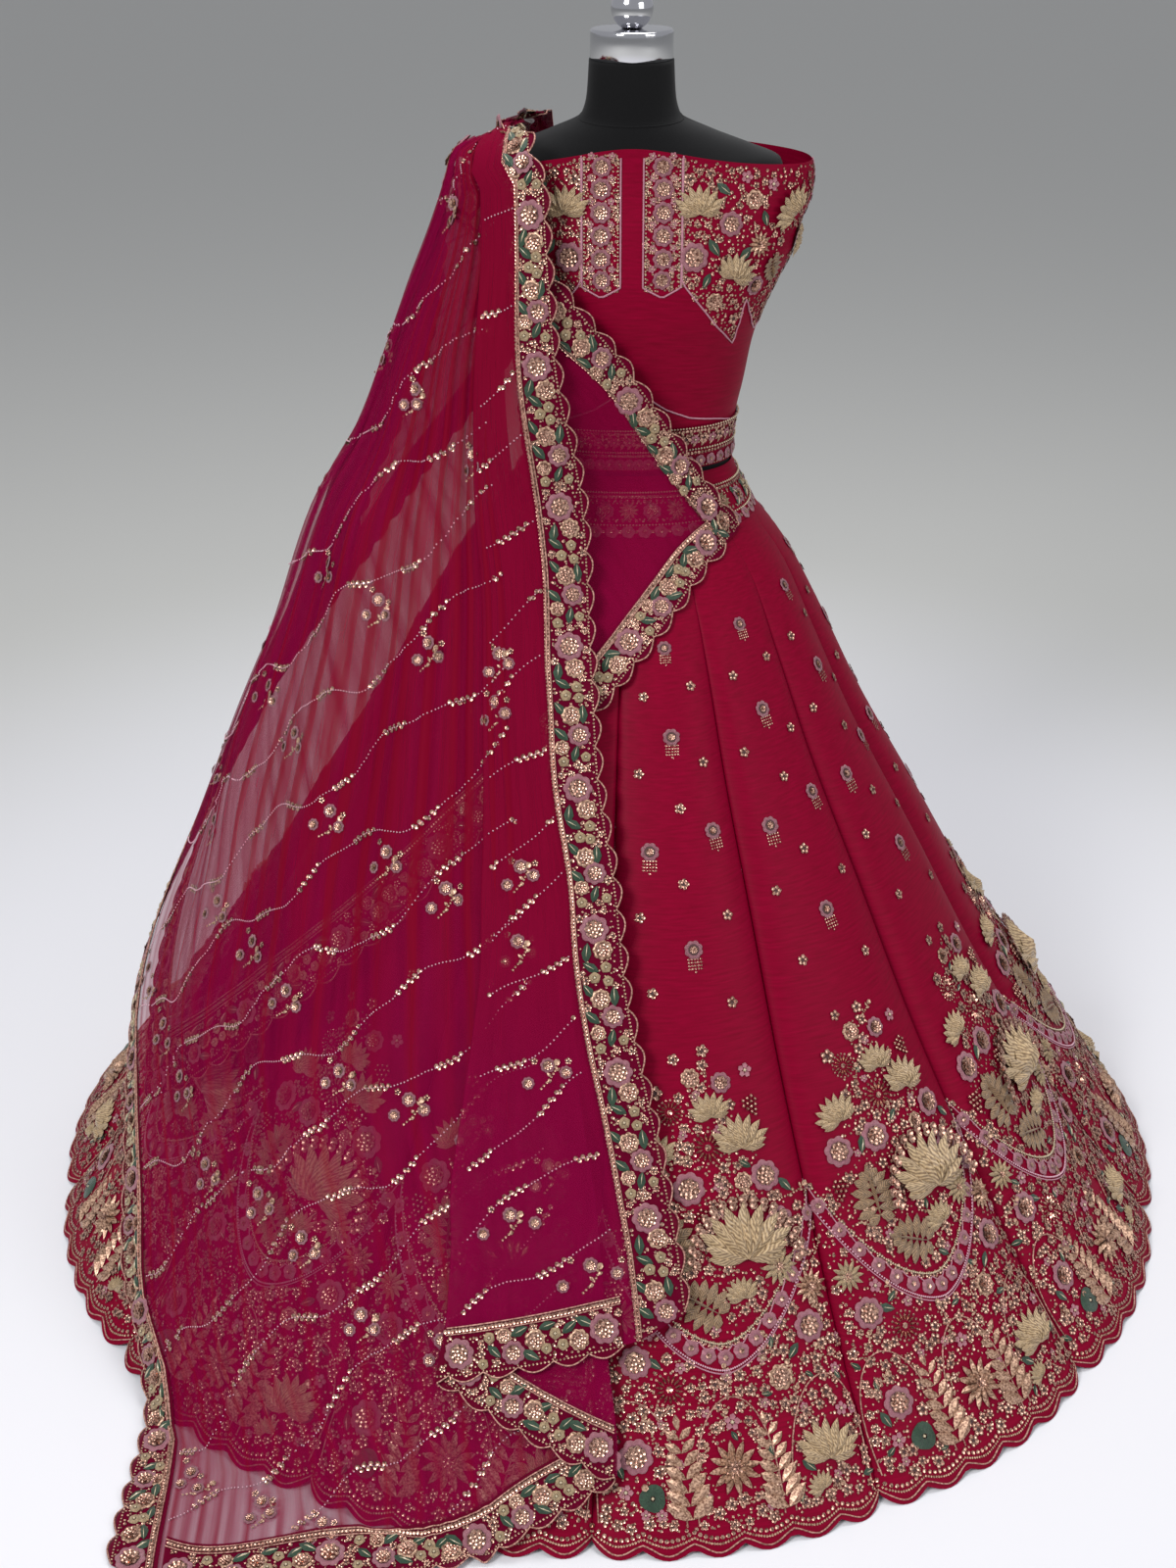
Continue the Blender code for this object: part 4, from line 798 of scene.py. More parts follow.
def gathers(across, height):
    """How far the net's folds stand out, uneven in width and depth."""
    share = np.clip((across - 0.30) / 0.70, 0.0, 1.0)
    wave = 0.5 - 0.5 * np.cos(2.0 * math.pi * FALL_PLEATS * (0.30 + 0.70 * share))
    broad = PLEATS.at("depth", height) * wave * ease(share / 0.08)
    depth = 0.0034 * ease((height - 0.25) / 0.5) * (0.7 + 0.3 * np.sin(11.0 * share))
    return broad + depth * fine_folds(across, height) * ease(share / 0.05) * ease((1.0 - share) / 0.06)


def fall_cloth():
    """The front fall, from its end border up to the ridge of the shoulder."""
    columns = fall_columns()
    across = columns[:, 2]
    foot = FALL_FOOT.at("height", across)
    foot_azimuth = mix(FALL.at("right_fold", foot), FALL.at("left_edge", foot), across)
    inner = up_the_cloth(foot_azimuth, foot, BORDER)
    top = ridge_heights(columns)
    lines = []
    drops = [(height, 1.0) for height in (mix(foot, inner, share) for share in np.linspace(0.0, 1.0, 5)[:-1])]
    for drop in FALL_DROPS[::-1]:
        drops.append((mix(top, inner, drop), float(np.interp(drop, *FRONT_SHARES))))
    for height, front_share in drops:
        edges = [FALL.at(name, height) for name in FALL_COLUMNS[1:]]
        per_metre = per_metre_at(edges[1], height)
        azimuth, layer = place_on_fall(columns, edges, per_metre)
        azimuth = mix(RIDGE_AZIMUTH, azimuth, front_share)
        lines.append(drape_point(azimuth, height, layer + gathers(across, height)))
    shares = 1.0 - across[::-1] + 1e-6 * np.arange(len(across))
    return Cloth(np.array(lines)[:, ::-1], shares)


def loop_cloth():
    """The stretch behind the shoulder, from the ridge down to its tucked end."""
    columns = fall_columns()
    top = ridge_heights(columns)
    edges = [np.full(len(columns), LOOP_AZIMUTHS[name]) for name in FALL_COLUMNS[1:]]
    lines = []
    for drop in (0.0, 0.004, 0.008, 0.015, 0.022, 0.040, 0.060, 0.085, 0.110, 0.15, 0.19, 0.215, 0.230):
        back_share = float(np.interp(drop, (0.0, 0.008, 0.022, 0.060), (0.0, 0.40, 0.75, 1.0)))
        inset = float(np.interp(drop, (0.215, 0.230), (0.0, 0.0020)))
        height = top - drop
        azimuth, layer = place_on_fall(columns, edges, per_metre_at(edges[1], height))
        azimuth = mix(RIDGE_AZIMUTH, azimuth, back_share)
        lines.append(drape_point(azimuth, height, layer - inset))
    shares = columns[:, 2] + 1e-6 * np.arange(len(columns))
    return Cloth(np.array(lines)[::-1], shares)


def under_cloth():
    """The under fall across the front, from its end border up to the shoulder."""
    across, along = np.meshgrid(np.linspace(0.0, 1.0, 81), np.linspace(1.0, 0.0, 81))
    places = []
    for name in ("azimuth", "height"):
        ends = [UNDER_RIGHT.at(name, 0.0), UNDER_LEFT.at(name, 0.0)]
        feet = [UNDER_FOOT.at(name, 0.0), UNDER_FOOT.at(name, 1.0)]
        start = mix(*ends, across)
        corners = mix(start, mix(*feet, across), along)
        sides = mix(UNDER_RIGHT.at(name, along.ravel()), UNDER_LEFT.at(name, along.ravel()), across.ravel())
        foot = UNDER_FOOT.at(name, across.ravel()).reshape(across.shape)
        places.append(sides.reshape(across.shape) + mix(start, foot, along) - corners)
    azimuth, height = places
    folds = 0.0012 * (1.0 + np.sin(2.0 * math.pi * 15.0 * (across + 0.02 * np.sin(5.0 * along))))
    calm = ease(across / 0.12) * ease((1.0 - across) / 0.12) * ease((1.0 - along) / 0.10)
    points = drape_point(azimuth, height, UNDER_LAYER + folds * calm)
    return Cloth(points[:, ::-1])


# Pieces of mesh.


def hex_colour(code):
    """An sRGB hex colour as Blender's linear values."""
    parts = [int(code[i:i + 2], 16) / 255.0 for i in (1, 3, 5)]
    linear = [p / 12.92 if p <= 0.04045 else ((p + 0.055) / 1.055) ** 2.4 for p in parts]
    return (*linear, 1.0)


def scene_object(name, data):
    """A new object in the scene."""
    piece = bpy.data.objects.new(name, data)
    bpy.context.scene.collection.objects.link(piece)
    return piece


def dress(piece, nodes=()):
    """Fix a piece to the body and hide the CAD nodes that it stands for."""
    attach(piece, "root")
    if nodes:
        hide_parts(*nodes)
    return piece


def mesh_piece(name, points, faces, material, smooth_faces=True):
    mesh = bpy.data.meshes.new(name)
    mesh.from_pydata([tuple(p) for p in points], [], faces)
    mesh.materials.append(material)
    mesh.update()
    if smooth_faces:
        mesh.shade_smooth()
    return scene_object(name, mesh)


def grid_faces(rows, columns, closed=False):
    faces = []
    for r in range(rows - 1):
        for c in range(columns if closed else columns - 1):
            n = (c + 1) % columns
            faces.append((r * columns + c, r * columns + n, (r + 1) * columns + n, (r + 1) * columns + c))
    return faces


def capped_faces(rows, columns):
    """The faces of a closed grid, with a flat face at its foot and at its top."""
    ends = [tuple(range(columns))[::-1], tuple(range((rows - 1) * columns, rows * columns))]
    return grid_faces(rows, columns, closed=True) + ends


def sheet_piece(name, cloth, material, lift=0.0, closed=False, folds=None):
    """A thin sheet on a cloth's grid, with a UV map in metres across and up it."""
    points = cloth.lifted(lift)
    if closed:
        points = points[:, :-1]
    rows, columns = points.shape[:2]
    piece = mesh_piece(name, points.reshape(-1, 3), grid_faces(rows, columns, closed=closed), material)
    uv = piece.data.uv_layers.new(name="cloth")
    ups = np.repeat(cloth.ups, columns)
    across = np.tile(cloth.shares[:columns] * cloth.widths.mean(), rows)
    index = np.array([loop.vertex_index for loop in piece.data.loops])
    uv.data.foreach_set("uv", np.stack([across[index], ups[index]], axis=1).ravel())
    if folds is not None:
        piece.data.attributes.new("gather", "FLOAT", "POINT").data.foreach_set("value", folds.ravel())
    return piece


# Shapes that are sewn on, as unit templates facing +Z.


def disc_shape(sides=6, cup=0.30):
    """A cupped disc with a raised rim."""
    angles = [2 * math.pi * i / sides for i in range(sides)]
    rim = [(math.cos(a), math.sin(a), DISC_RIM, 0.0) for a in angles]
    faces = [(0, 1 + i, 1 + (i + 1) % sides) for i in range(sides)]
    return [(0.0, 0.0, DISC_RIM - cup, 0.0)] + rim, faces


def bead_shape():
    """A bead with eight facets that stands on its lower point."""
    points = [(1, 0, 0.7, 0), (0, 1, 0.7, 0), (-1, 0, 0.7, 0), (0, -1, 0.7, 0),
              (0, 0, 1.6, 0), (0, 0, -0.1, 0)]
    faces = [(0, 1, 4), (1, 2, 4), (2, 3, 4), (3, 0, 4), (1, 0, 5), (2, 1, 5), (3, 2, 5), (0, 3, 5)]
    return points, faces


def petal_shape(length, half_width, start=0.0, rise=0.22, tip=0.06):
    """A padded petal along +Y with a raised midrib; the fourth value runs across its stitches."""
    points = [(0.0, start, 0.04, 0.0)]
    for share, width in ((0.22, 0.62), (0.55, 1.0), (0.82, 0.60)):
        y = start + length * share
        stitch = 2.0 * length * share
        points += [(-half_width * width, y, 0.03, stitch - 0.5), (0.0, y, rise * width, stitch),
                   (half_width * width, y, 0.03, stitch - 0.5)]
    points.append((0.0, start + length, tip, 2.0 * length))
    faces = [(0, 2, 1), (0, 3, 2)]
    for k in (1, 4):
        faces += [(k, k + 1, k + 4, k + 3), (k + 1, k + 2, k + 5, k + 4)]
    faces += [(7, 8, 10), (8, 9, 10)]
    return points, faces


def moved(shape, turn=0.0, size=1.0, at=(0.0, 0.0, 0.0)):
    c, s = math.cos(turn * DEGREE), math.sin(turn * DEGREE)
    points = [(at[0] + size * (c * x - s * y), at[1] + size * (s * x + c * y), at[2] + size * z, stitch)
              for x, y, z, stitch in shape[0]]
    return points, shape[1]


def joined(shapes):
    points, faces = [], []
    for part_points, part_faces in shapes:
        faces += [tuple(i + len(points) for i in face) for face in part_faces]
        points += part_points
    return points, faces


def petals_round(count, length, half_width, start=0.0, rise=0.2, first=0.0, spread=360.0):
    petal = petal_shape(length, half_width, start, rise)
    step = spread / count if spread >= 360.0 else spread / (count - 1)
    return joined([moved(petal, first + i * step) for i in range(count)])


def ring_shape(lobes, sides, rings, lobe_depth=0.14):
    """A scalloped padded flower, or its rim, from rings of radius and height."""
    points = []
    for index, (radius, height) in enumerate(rings):
        for i in range(sides):
            angle = 2 * math.pi * i / sides
            lobe = 1.0 - (lobe_depth if index < 2 else 0.0) * (1.0 - abs(math.sin(0.5 * lobes * angle)))
            reach = radius * lobe
            points.append((reach * math.cos(angle), reach * math.sin(angle), height, float(i % 2)))
    return points, grid_faces(len(rings), sides, closed=True)


def rosette_shape():
    """Overlapping sequins in three rounds, as in the middle of a flower."""
    rounds = ((8, 0.50, 0.235, 0.10), (5, 0.27, 0.215, 0.16), (1, 0.0, 0.20, 0.24))
    return joined([moved(disc_shape(6, 0.45), 25.0 * i, size, (x, y, height))
                   for count, radius, size, height in rounds
                   for i, (x, y) in enumerate(circle_line(count, radius, 20.0 * count))])


def beads_on(line, size, shape=None):
    shape = shape or bead_shape()
    return joined([moved(shape, 30.0 * i, size, (x, y, 0.0)) for i, (x, y) in enumerate(line)])


def circle_line(count, radius, first=0.0, spread=360.0):
    step = spread / count if spread >= 360.0 else spread / (count - 1)
    angles = [(first + i * step) * DEGREE for i in range(count)]
    return [(radius * math.cos(a), radius * math.sin(a)) for a in angles]


def fan_lotus():
    """A lotus seen from its side: back petals, front petals and low side petals."""
    back = petals_round(7, 1.0, 0.150, 0.02, 0.16, -60.0, 120.0)
    front = petals_round(6, 0.82, 0.150, 0.00, 0.20, -72.0, 144.0)
    heart = petals_round(3, 0.66, 0.150, 0.00, 0.22, -22.0, 44.0)
    low = joined([moved(petal_shape(0.74, 0.13, 0.0, 0.16), turn) for turn in (-86.0, 86.0)])
    return joined([back, moved(front, 0.0, 1.0, (0, 0, 0.04)), moved(heart, 0.0, 1.0, (0, 0, 0.08)), low])


def halo_shape():
    """An arch of small loops that stands over a large lotus."""
    return joined([moved(disc_shape(6, 0.5), 0.0, 0.085, (x, y, 0.04)) for x, y in
                   circle_line(17, 0.96, -2.0, 184.0) + circle_line(17, 1.06, 2.0, 176.0)])


def ribbed_leaf():
    """A broad leaf: beaded ribs in pairs from its midrib, lobed along its edge."""
    ribs = [moved(petal_shape(0.55, 0.105, 0.0, 0.10), 0.0, 1.0, (0.0, 0.45, 0.0))]
    for i, reach in enumerate((0.52, 0.80, 0.88, 0.82, 0.68, 0.46)):
        rib = petal_shape(reach, 0.175, 0.0, 0.10)
        for side in (-1.0, 1.0):
            ribs.append(moved(rib, side * (112.0 - 13.0 * i), 1.0, (0.0, -0.62 + 0.22 * i, 0.0)))
    ribs.append(moved(petal_shape(1.5, 0.05, -0.7, 0.22)))
    return joined(ribs)


def plume_shape():
    """A slender tree of leaflets in pairs on an upright stem."""
    leaflets = []
    for i in range(7):
        y = 0.08 + 0.125 * i
        size = 0.30 - 0.022 * i
        for side in (-1.0, 1.0):
            leaflets.append(moved(petal_shape(1.0, 0.24, 0.0, 0.2), side * 52.0, size, (0.0, y, 0.0)))
    leaflets.append(moved(petal_shape(1.0, 0.26, 0.0, 0.2), 0.0, 0.16, (0.0, 0.92, 0.0)))
    return joined(leaflets)


def sprig_line(count=9, bend=0.45):
    return [(bend * math.sin(1.7 * i / count) - 0.2, i / count) for i in range(count)]


def sprig_shape():
    """A bent stem of seed beads with small leaflets and a bud."""
    line = sprig_line()
    parts = [beads_on(line, 0.050, disc_shape(4, 0.5))]
    for i, side in ((2, -1), (4, 1), (6, -1), (7, 1)):
        x, y = line[i]
        parts.append(moved(petal_shape(1.0, 0.30, 0.0, 0.2), side * 55.0, 0.20, (x, y, 0.0)))
    x, y = line[-1]
    parts.append(moved(disc_shape(6), 0.0, 0.12, (x, y + 0.08, 0.05)))
    return joined(parts)


def floret_shape():
    petals = [moved(disc_shape(5, 0.5), 60.0 * i, 0.40, (x, y, 0.06))
              for i, (x, y) in enumerate(circle_line(5, 0.62))]
    return joined(petals)


def fringe_shape():
    """A fringe of short beaded strands below a small fan."""
    strands = [(x, -0.75 - 0.26 * n) for x in (-0.5, -0.25, 0.0, 0.25, 0.5) for n in range(4 + (x == 0.0))]
    return beads_on(strands, 0.10, disc_shape(4, 0.5))


def cluster_shape():
    """A bunch of round beads, wide above and narrow below."""
    line = [(x, y) for y, xs in ((0.6, (-0.45, 0.0, 0.45)), (0.2, (-0.62, -0.2, 0.2, 0.62)),
                                 (-0.2, (-0.42, 0.0, 0.42)), (-0.6, (-0.2, 0.2)), (-0.95, (0.0,))) for x in xs]
    return beads_on(line, 0.20)


def star_shape():
    """Two rounds of narrow petals, the upper ones between the lower."""
    upper = moved(petals_round(9, 0.55, 0.11, 0.10, 0.2), 12.0, 1.0, (0.0, 0.0, 0.08))
    return joined([petals_round(12, 0.84, 0.13, 0.12, 0.16), upper])


def wheel_shape():
    """Short rays round a disc, inside a ring of beads."""
    rays = petals_round(14, 0.56, 0.085, 0.34, 0.18)
    ring = beads_on(circle_line(18, 1.0), 0.10, disc_shape(5, 0.4))
    return joined([rays, moved(disc_shape(6), 0.0, 0.22), ring])


SHAPES = {
    "sequin": disc_shape,
    "bead": bead_shape,
    "seed": lambda: disc_shape(4, 0.5),
    "rim": lambda: ring_shape(8, 32, ((1.0, 0.02), (0.84, 0.15), (0.56, 0.05))),
    "rosette": rosette_shape,
    "bud": lambda: ring_shape(5, 10, ((1.0, 0.05), (0.72, 0.38), (0.30, 0.25))),
    "base": lambda: moved(disc_shape(10, 0.0), 0.0, 0.62, (0.0, 0.0, -0.05)),
    "star": star_shape,
    "wheel": wheel_shape,
    "lotus": fan_lotus,
    "halo": halo_shape,
    "ribbed": ribbed_leaf,
    "leaf": lambda: petal_shape(2.0, 0.50, -1.0, 0.22),
    "vein": lambda: petal_shape(1.5, 0.085, -0.9, 0.36),
    "lily_pad": lambda: ring_shape(3, 16, ((1.0, 0.02), (0.60, 0.14), (0.18, 0.20))),
    "plume": plume_shape,
    "sprig": sprig_shape,
    "floret": floret_shape,
    "fringe": fringe_shape,
    "cluster": cluster_shape,
    "shell": lambda: ring_shape(5, 15, ((1.0, 0.02), (0.80, 0.16), (0.45, 0.08), (0.05, 0.10))),
}

class Sewing:
    """Collects the spots of every motif on one zone, then sews each shape on at once."""

    def __init__(self, zone):
        self.zone = zone
        self.spots = {}

    def put(self, motif, cloth, across, up, turn, size, lift=STITCH_LIFT):
        for shape, finish, share, raised in MOTIFS[motif]:
            spots = self.spots.setdefault((shape, finish), Spots())
            spots.add(cloth, across, up, turn, np.asarray(size, float) * share, lift + raised)

    def sew(self, finishes):
        for (shape, finish), spots in sorted(self.spots.items()):
            name = f"{self.zone}_{finish}_{shape}"
            dress(sewn_piece(name, spots, shape, finishes[finish]))


def add_node(tree, kind, inputs=None, **settings):
    """Add a node with its settings, and link or set its inputs by name."""
    node = tree.nodes.new(kind)
    for name, value in settings.items():
        setattr(node, name, value)
    for name, value in (inputs or {}).items():
        if isinstance(value, bpy.types.NodeSocket):
            tree.links.new(value, node.inputs[name])
        else:
            node.inputs[name].default_value = value
    return node


def sewing_tree():
    """Set one shape at every point, by the point's own turn and size."""
    tree = bpy.data.node_groups.new("sew_on", "GeometryNodeTree")
    tree.interface.new_socket("Places", in_out="INPUT", socket_type="NodeSocketGeometry")
    tree.interface.new_socket("Shape", in_out="INPUT", socket_type="NodeSocketObject")
    tree.interface.new_socket("Finish", in_out="INPUT", socket_type="NodeSocketMaterial")
    tree.interface.new_socket("Sewn", in_out="OUTPUT", socket_type="NodeSocketGeometry")
    given = add_node(tree, "NodeGroupInput")
    shape = add_node(tree, "GeometryNodeObjectInfo", {"Object": given.outputs["Shape"]})
    turn = add_node(tree, "GeometryNodeInputNamedAttribute", {"Name": "turn"}, data_type="FLOAT_VECTOR")
    size = add_node(tree, "GeometryNodeInputNamedAttribute", {"Name": "size"}, data_type="FLOAT")
    rotation = add_node(tree, "FunctionNodeEulerToRotation", {"Euler": turn.outputs["Attribute"]})
    placed = add_node(tree, "GeometryNodeInstanceOnPoints", {
        "Points": given.outputs["Places"], "Instance": shape.outputs["Geometry"],
        "Rotation": rotation.outputs["Rotation"], "Scale": size.outputs["Attribute"]})
    real = add_node(tree, "GeometryNodeRealizeInstances", {"Geometry": placed.outputs["Instances"]})
    finished = add_node(tree, "GeometryNodeSetMaterial", {
        "Geometry": real.outputs["Geometry"], "Material": given.outputs["Finish"]})
    add_node(tree, "NodeGroupOutput", {"Sewn": finished.outputs["Geometry"]})
    return tree


def cord_tree():
    """Give each line of edges a round section and close its ends."""
    tree = bpy.data.node_groups.new("twist_cord", "GeometryNodeTree")
    tree.interface.new_socket("Lines", in_out="INPUT", socket_type="NodeSocketGeometry")
    tree.interface.new_socket("Radius", in_out="INPUT", socket_type="NodeSocketFloat")
    tree.interface.new_socket("Finish", in_out="INPUT", socket_type="NodeSocketMaterial")
    tree.interface.new_socket("Cord", in_out="OUTPUT", socket_type="NodeSocketGeometry")
    given = add_node(tree, "NodeGroupInput")
    curve = add_node(tree, "GeometryNodeMeshToCurve", {"Mesh": given.outputs["Lines"]})
    section = add_node(tree, "GeometryNodeCurvePrimitiveCircle", {
        "Resolution": 4, "Radius": given.outputs["Radius"]})
    tube = add_node(tree, "GeometryNodeCurveToMesh", {
        "Curve": curve.outputs["Curve"], "Profile Curve": section.outputs["Curve"], "Fill Caps": True})
    real = add_node(tree, "GeometryNodeRealizeInstances", {"Geometry": tube.outputs["Mesh"]})
    finished = add_node(tree, "GeometryNodeSetMaterial", {
        "Geometry": real.outputs["Geometry"], "Material": given.outputs["Finish"]})
    add_node(tree, "NodeGroupOutput", {"Cord": finished.outputs["Geometry"]})
    return tree


SEWING_TREE = sewing_tree()
CORD_TREE = cord_tree()


def worked(name, mesh, tree, values, sharp=False):
    """Run a tree on a mesh and keep its result as a plain mesh piece."""
    seed = scene_object(name + "_lines", mesh)
    modifier = seed.modifiers.new("Work", "NODES")
    modifier.node_group = tree
    for item in tree.interface.items_tree:
        if item.in_out == "INPUT" and item.name in values:
            modifier[item.identifier] = values[item.name]
    result = bpy.data.meshes.new_from_object(seed.evaluated_get(bpy.context.evaluated_depsgraph_get()))
    bpy.data.objects.remove(seed)
    result.name = name
    if sharp:
        result.shade_flat()
    else:
        result.shade_smooth()
    return scene_object(name, result)


def sewn_piece(name, spots, shape, material):
    points, turns, sizes = spots.arrays()
    template_mesh = bpy.data.meshes.new(shape)
    template_points, template_faces = SHAPES[shape]()
    template_mesh.from_pydata([point[:3] for point in template_points], [], template_faces)
    stitches = [float(point[3]) for point in template_points]
    template_mesh.attributes.new("stitch", "FLOAT", "POINT").data.foreach_set("value", stitches)
    template = scene_object(shape, template_mesh)
    mesh = bpy.data.meshes.new(name + "_places")
    mesh.from_pydata([tuple(p) for p in points], [], [])
    mesh.attributes.new("turn", "FLOAT_VECTOR", "POINT").data.foreach_set("vector", turns.ravel())
    mesh.attributes.new("size", "FLOAT", "POINT").data.foreach_set("value", sizes.ravel())
    piece = worked(name, mesh, SEWING_TREE, {"Shape": template, "Finish": material}, shape in SHARP_SHAPES)
    bpy.data.objects.remove(template)
    return piece


def cord_piece(name, lines, radius, material):
    points, edges = [], []
    for line in lines:
        start = len(points)
        points += [tuple(p) for p in line]
        edges += [(start + i, start + i + 1) for i in range(len(line) - 1)]
    mesh = bpy.data.meshes.new(name + "_path")
    mesh.from_pydata(points, edges, [])
    return worked(name, mesh, CORD_TREE, {"Radius": radius, "Finish": material})


# Finishes.


def plain_material(name, colour, roughness, metallic=0.0):
    material = bpy.data.materials.new(name)
    material.use_nodes = True
    shader = material.node_tree.nodes["Principled BSDF"]
    shader.inputs["Base Color"].default_value = hex_colour(colour)
    shader.inputs["Roughness"].default_value = roughness
    shader.inputs["Metallic"].default_value = metallic
    material.diffuse_color = hex_colour(colour)
    return material, material.node_tree, shader


def vary_colour(tree, shader, pattern, low, high):
    shade = add_node(tree, "ShaderNodeMix", {"Factor": pattern}, data_type="RGBA")
    shade.inputs[6].default_value = hex_colour(low)
    shade.inputs[7].default_value = hex_colour(high)
    tree.links.new(shade.outputs[2], shader.inputs["Base Color"])


def noise_on(tree, source, scale, detail=2.0, stretch=(1.0, 1.0, 1.0)):
    """A noise whose grains are 1/scale metres, stretched along the axes."""
    coordinates = add_node(tree, "ShaderNodeTexCoord")
    placed = add_node(tree, "ShaderNodeMapping", {"Vector": coordinates.outputs[source], "Scale": stretch})
    noise = add_node(tree, "ShaderNodeTexNoise", {
        "Vector": placed.outputs["Vector"], "Scale": scale, "Detail": detail, "Roughness": 0.55})
    return noise.outputs["Fac"]


def roughen(tree, shader, pattern, distance, strength=0.5):
    bump = add_node(tree, "ShaderNodeBump", {"Height": pattern, "Distance": distance, "Strength": strength})
    tree.links.new(bump.outputs["Normal"], shader.inputs["Normal"])


def raw_silk(name="crimson_raw_silk", low="#66001A", high="#92002E"):
    """Raw silk: slubs of 1 mm thread show as short level streaks; drawn 3 mm thick to show."""
    material, tree, shader = plain_material(name, high, 0.50)
    slubs = noise_on(tree, "UV", 1.0, 3.0, (28.0, 330.0, 1.0))
    vary_colour(tree, shader, slubs, low, high)
    roughen(tree, shader, slubs, 0.0006, 0.35)
    shader.inputs["Specular IOR Level"].default_value = 0.06
    shader.inputs["Sheen Weight"].default_value = 0.02
    shader.inputs["Sheen Roughness"].default_value = 0.4
    shader.inputs["Sheen Tint"].default_value = hex_colour("#E01048")
    return material


def soft_net(name="crimson_net", thin="#88003C", gathered="#7A0022", thinnest=0.20, thickest=0.92):
    """Nylon net: its 1 mm mesh is too fine to show, so its cover follows its fine folds.
    It looks pinker where it is thin and crimson where it lies gathered."""
    material, tree, shader = plain_material(name, gathered, 0.7)
    clouds = noise_on(tree, "UV", 1.0, 2.0, (150.0, 9.0, 1.0))
    folds = add_node(tree, "ShaderNodeAttribute", attribute_name="gather")
    both = add_node(tree, "ShaderNodeMath", {0: folds.outputs["Fac"], 1: clouds}, operation="ADD")
    cover = add_node(tree, "ShaderNodeMapRange", {
        "Value": both.outputs[0], "From Min": -0.65, "From Max": 1.6, "To Min": thinnest, "To Max": thickest})
    tree.links.new(cover.outputs["Result"], shader.inputs["Alpha"])
    vary_colour(tree, shader, folds.outputs["Fac"], thin, gathered)
    shader.inputs["Specular IOR Level"].default_value = 0.05
    return material


def satin_thread(name, low, high, roughness=0.55):
    """Embroidery in rows of thread or fine beads, 0.6 mm wide, drawn 1.5 mm wide to show. Its colour goes from
    painted shade to painted sheen and back from row to row, with a grain of random tone.
    """
    material, tree, shader = plain_material(name, high, roughness)
    across = add_node(tree, "ShaderNodeAttribute", attribute_name="stitch")
    phase = add_node(tree, "ShaderNodeMath", {0: across.outputs["Fac"], 1: THREAD_ROWS}, operation="MULTIPLY")
    wave = add_node(tree, "ShaderNodeMath", {0: phase.outputs[0]}, operation="SINE")
    grain = noise_on(tree, "Object", 240.0, 2.0)
    shade = add_node(tree, "ShaderNodeMath", {0: wave.outputs[0], 1: 0.32, 2: grain}, operation="MULTIPLY_ADD")
    # Painted shade and painted sheen: the rows of thread are coloured dark and light by turns, with a random
    # grain; the same pattern makes their bumps.
    vary_colour(tree, shader, shade.outputs[0], low, high)
    roughen(tree, shader, shade.outputs[0], 0.0007, 0.8)
    shader.inputs["Sheen Weight"].default_value = 0.2
    return material


def sequin_foil(name, low, high, roughness=0.24, metallic=0.8):
    """Sequins and metal beads: a noise gives them tones that differ from one to the next, and its bright end
    stands for painted glints.
    """
    material, tree, shader = plain_material(name, high, roughness, metallic)
    tones_and_glints = noise_on(tree, "Object", 380.0, 1.0)
    spread = add_node(tree, "ShaderNodeMapRange", {"Value": tones_and_glints, "From Min": 0.36, "From Max": 0.62})
    # Painted glints: where the noise is high the foil takes the bright colour, as if it caught the light;
    # elsewhere the tone varies at random.
    vary_colour(tree, shader, spread.outputs["Result"], low, high)
    return material


def pearl_bead(name, colour):
    """Pearls: a smooth bead under a clear lustre."""
    material, _, shader = plain_material(name, colour, 0.28)
    shader.inputs["Coat Weight"].default_value = 0.6
    shader.inputs["Coat Roughness"].default_value = 0.15
    return material


def black_jersey():
    """Knitted jersey over the form: fine upright ribs, matt, with a soft bloom of fluff."""
    material, tree, shader = plain_material("black_jersey", "#060607", 0.9)
    knit = noise_on(tree, "Object", 900.0, 1.0, (1.0, 1.0, 0.4))
    vary_colour(tree, shader, knit, "#030304", "#0B0B0D")
    roughen(tree, shader, knit, 0.0004, 0.4)
    shader.inputs["Specular IOR Level"].default_value = 0.25
    shader.inputs["Sheen Weight"].default_value = 0.06
    return material


def polished_chrome():
    """Polished chrome: it mirrors the room, with faint smears from hands."""
    material, tree, shader = plain_material("polished_chrome", "#D4D4D8", 0.08, 1.0)
    smear = noise_on(tree, "Object", 60.0, 3.0)
    worn = add_node(tree, "ShaderNodeMapRange", {"Value": smear, "To Min": 0.05, "To Max": 0.16})
    tree.links.new(worn.outputs["Result"], shader.inputs["Roughness"])
    return material


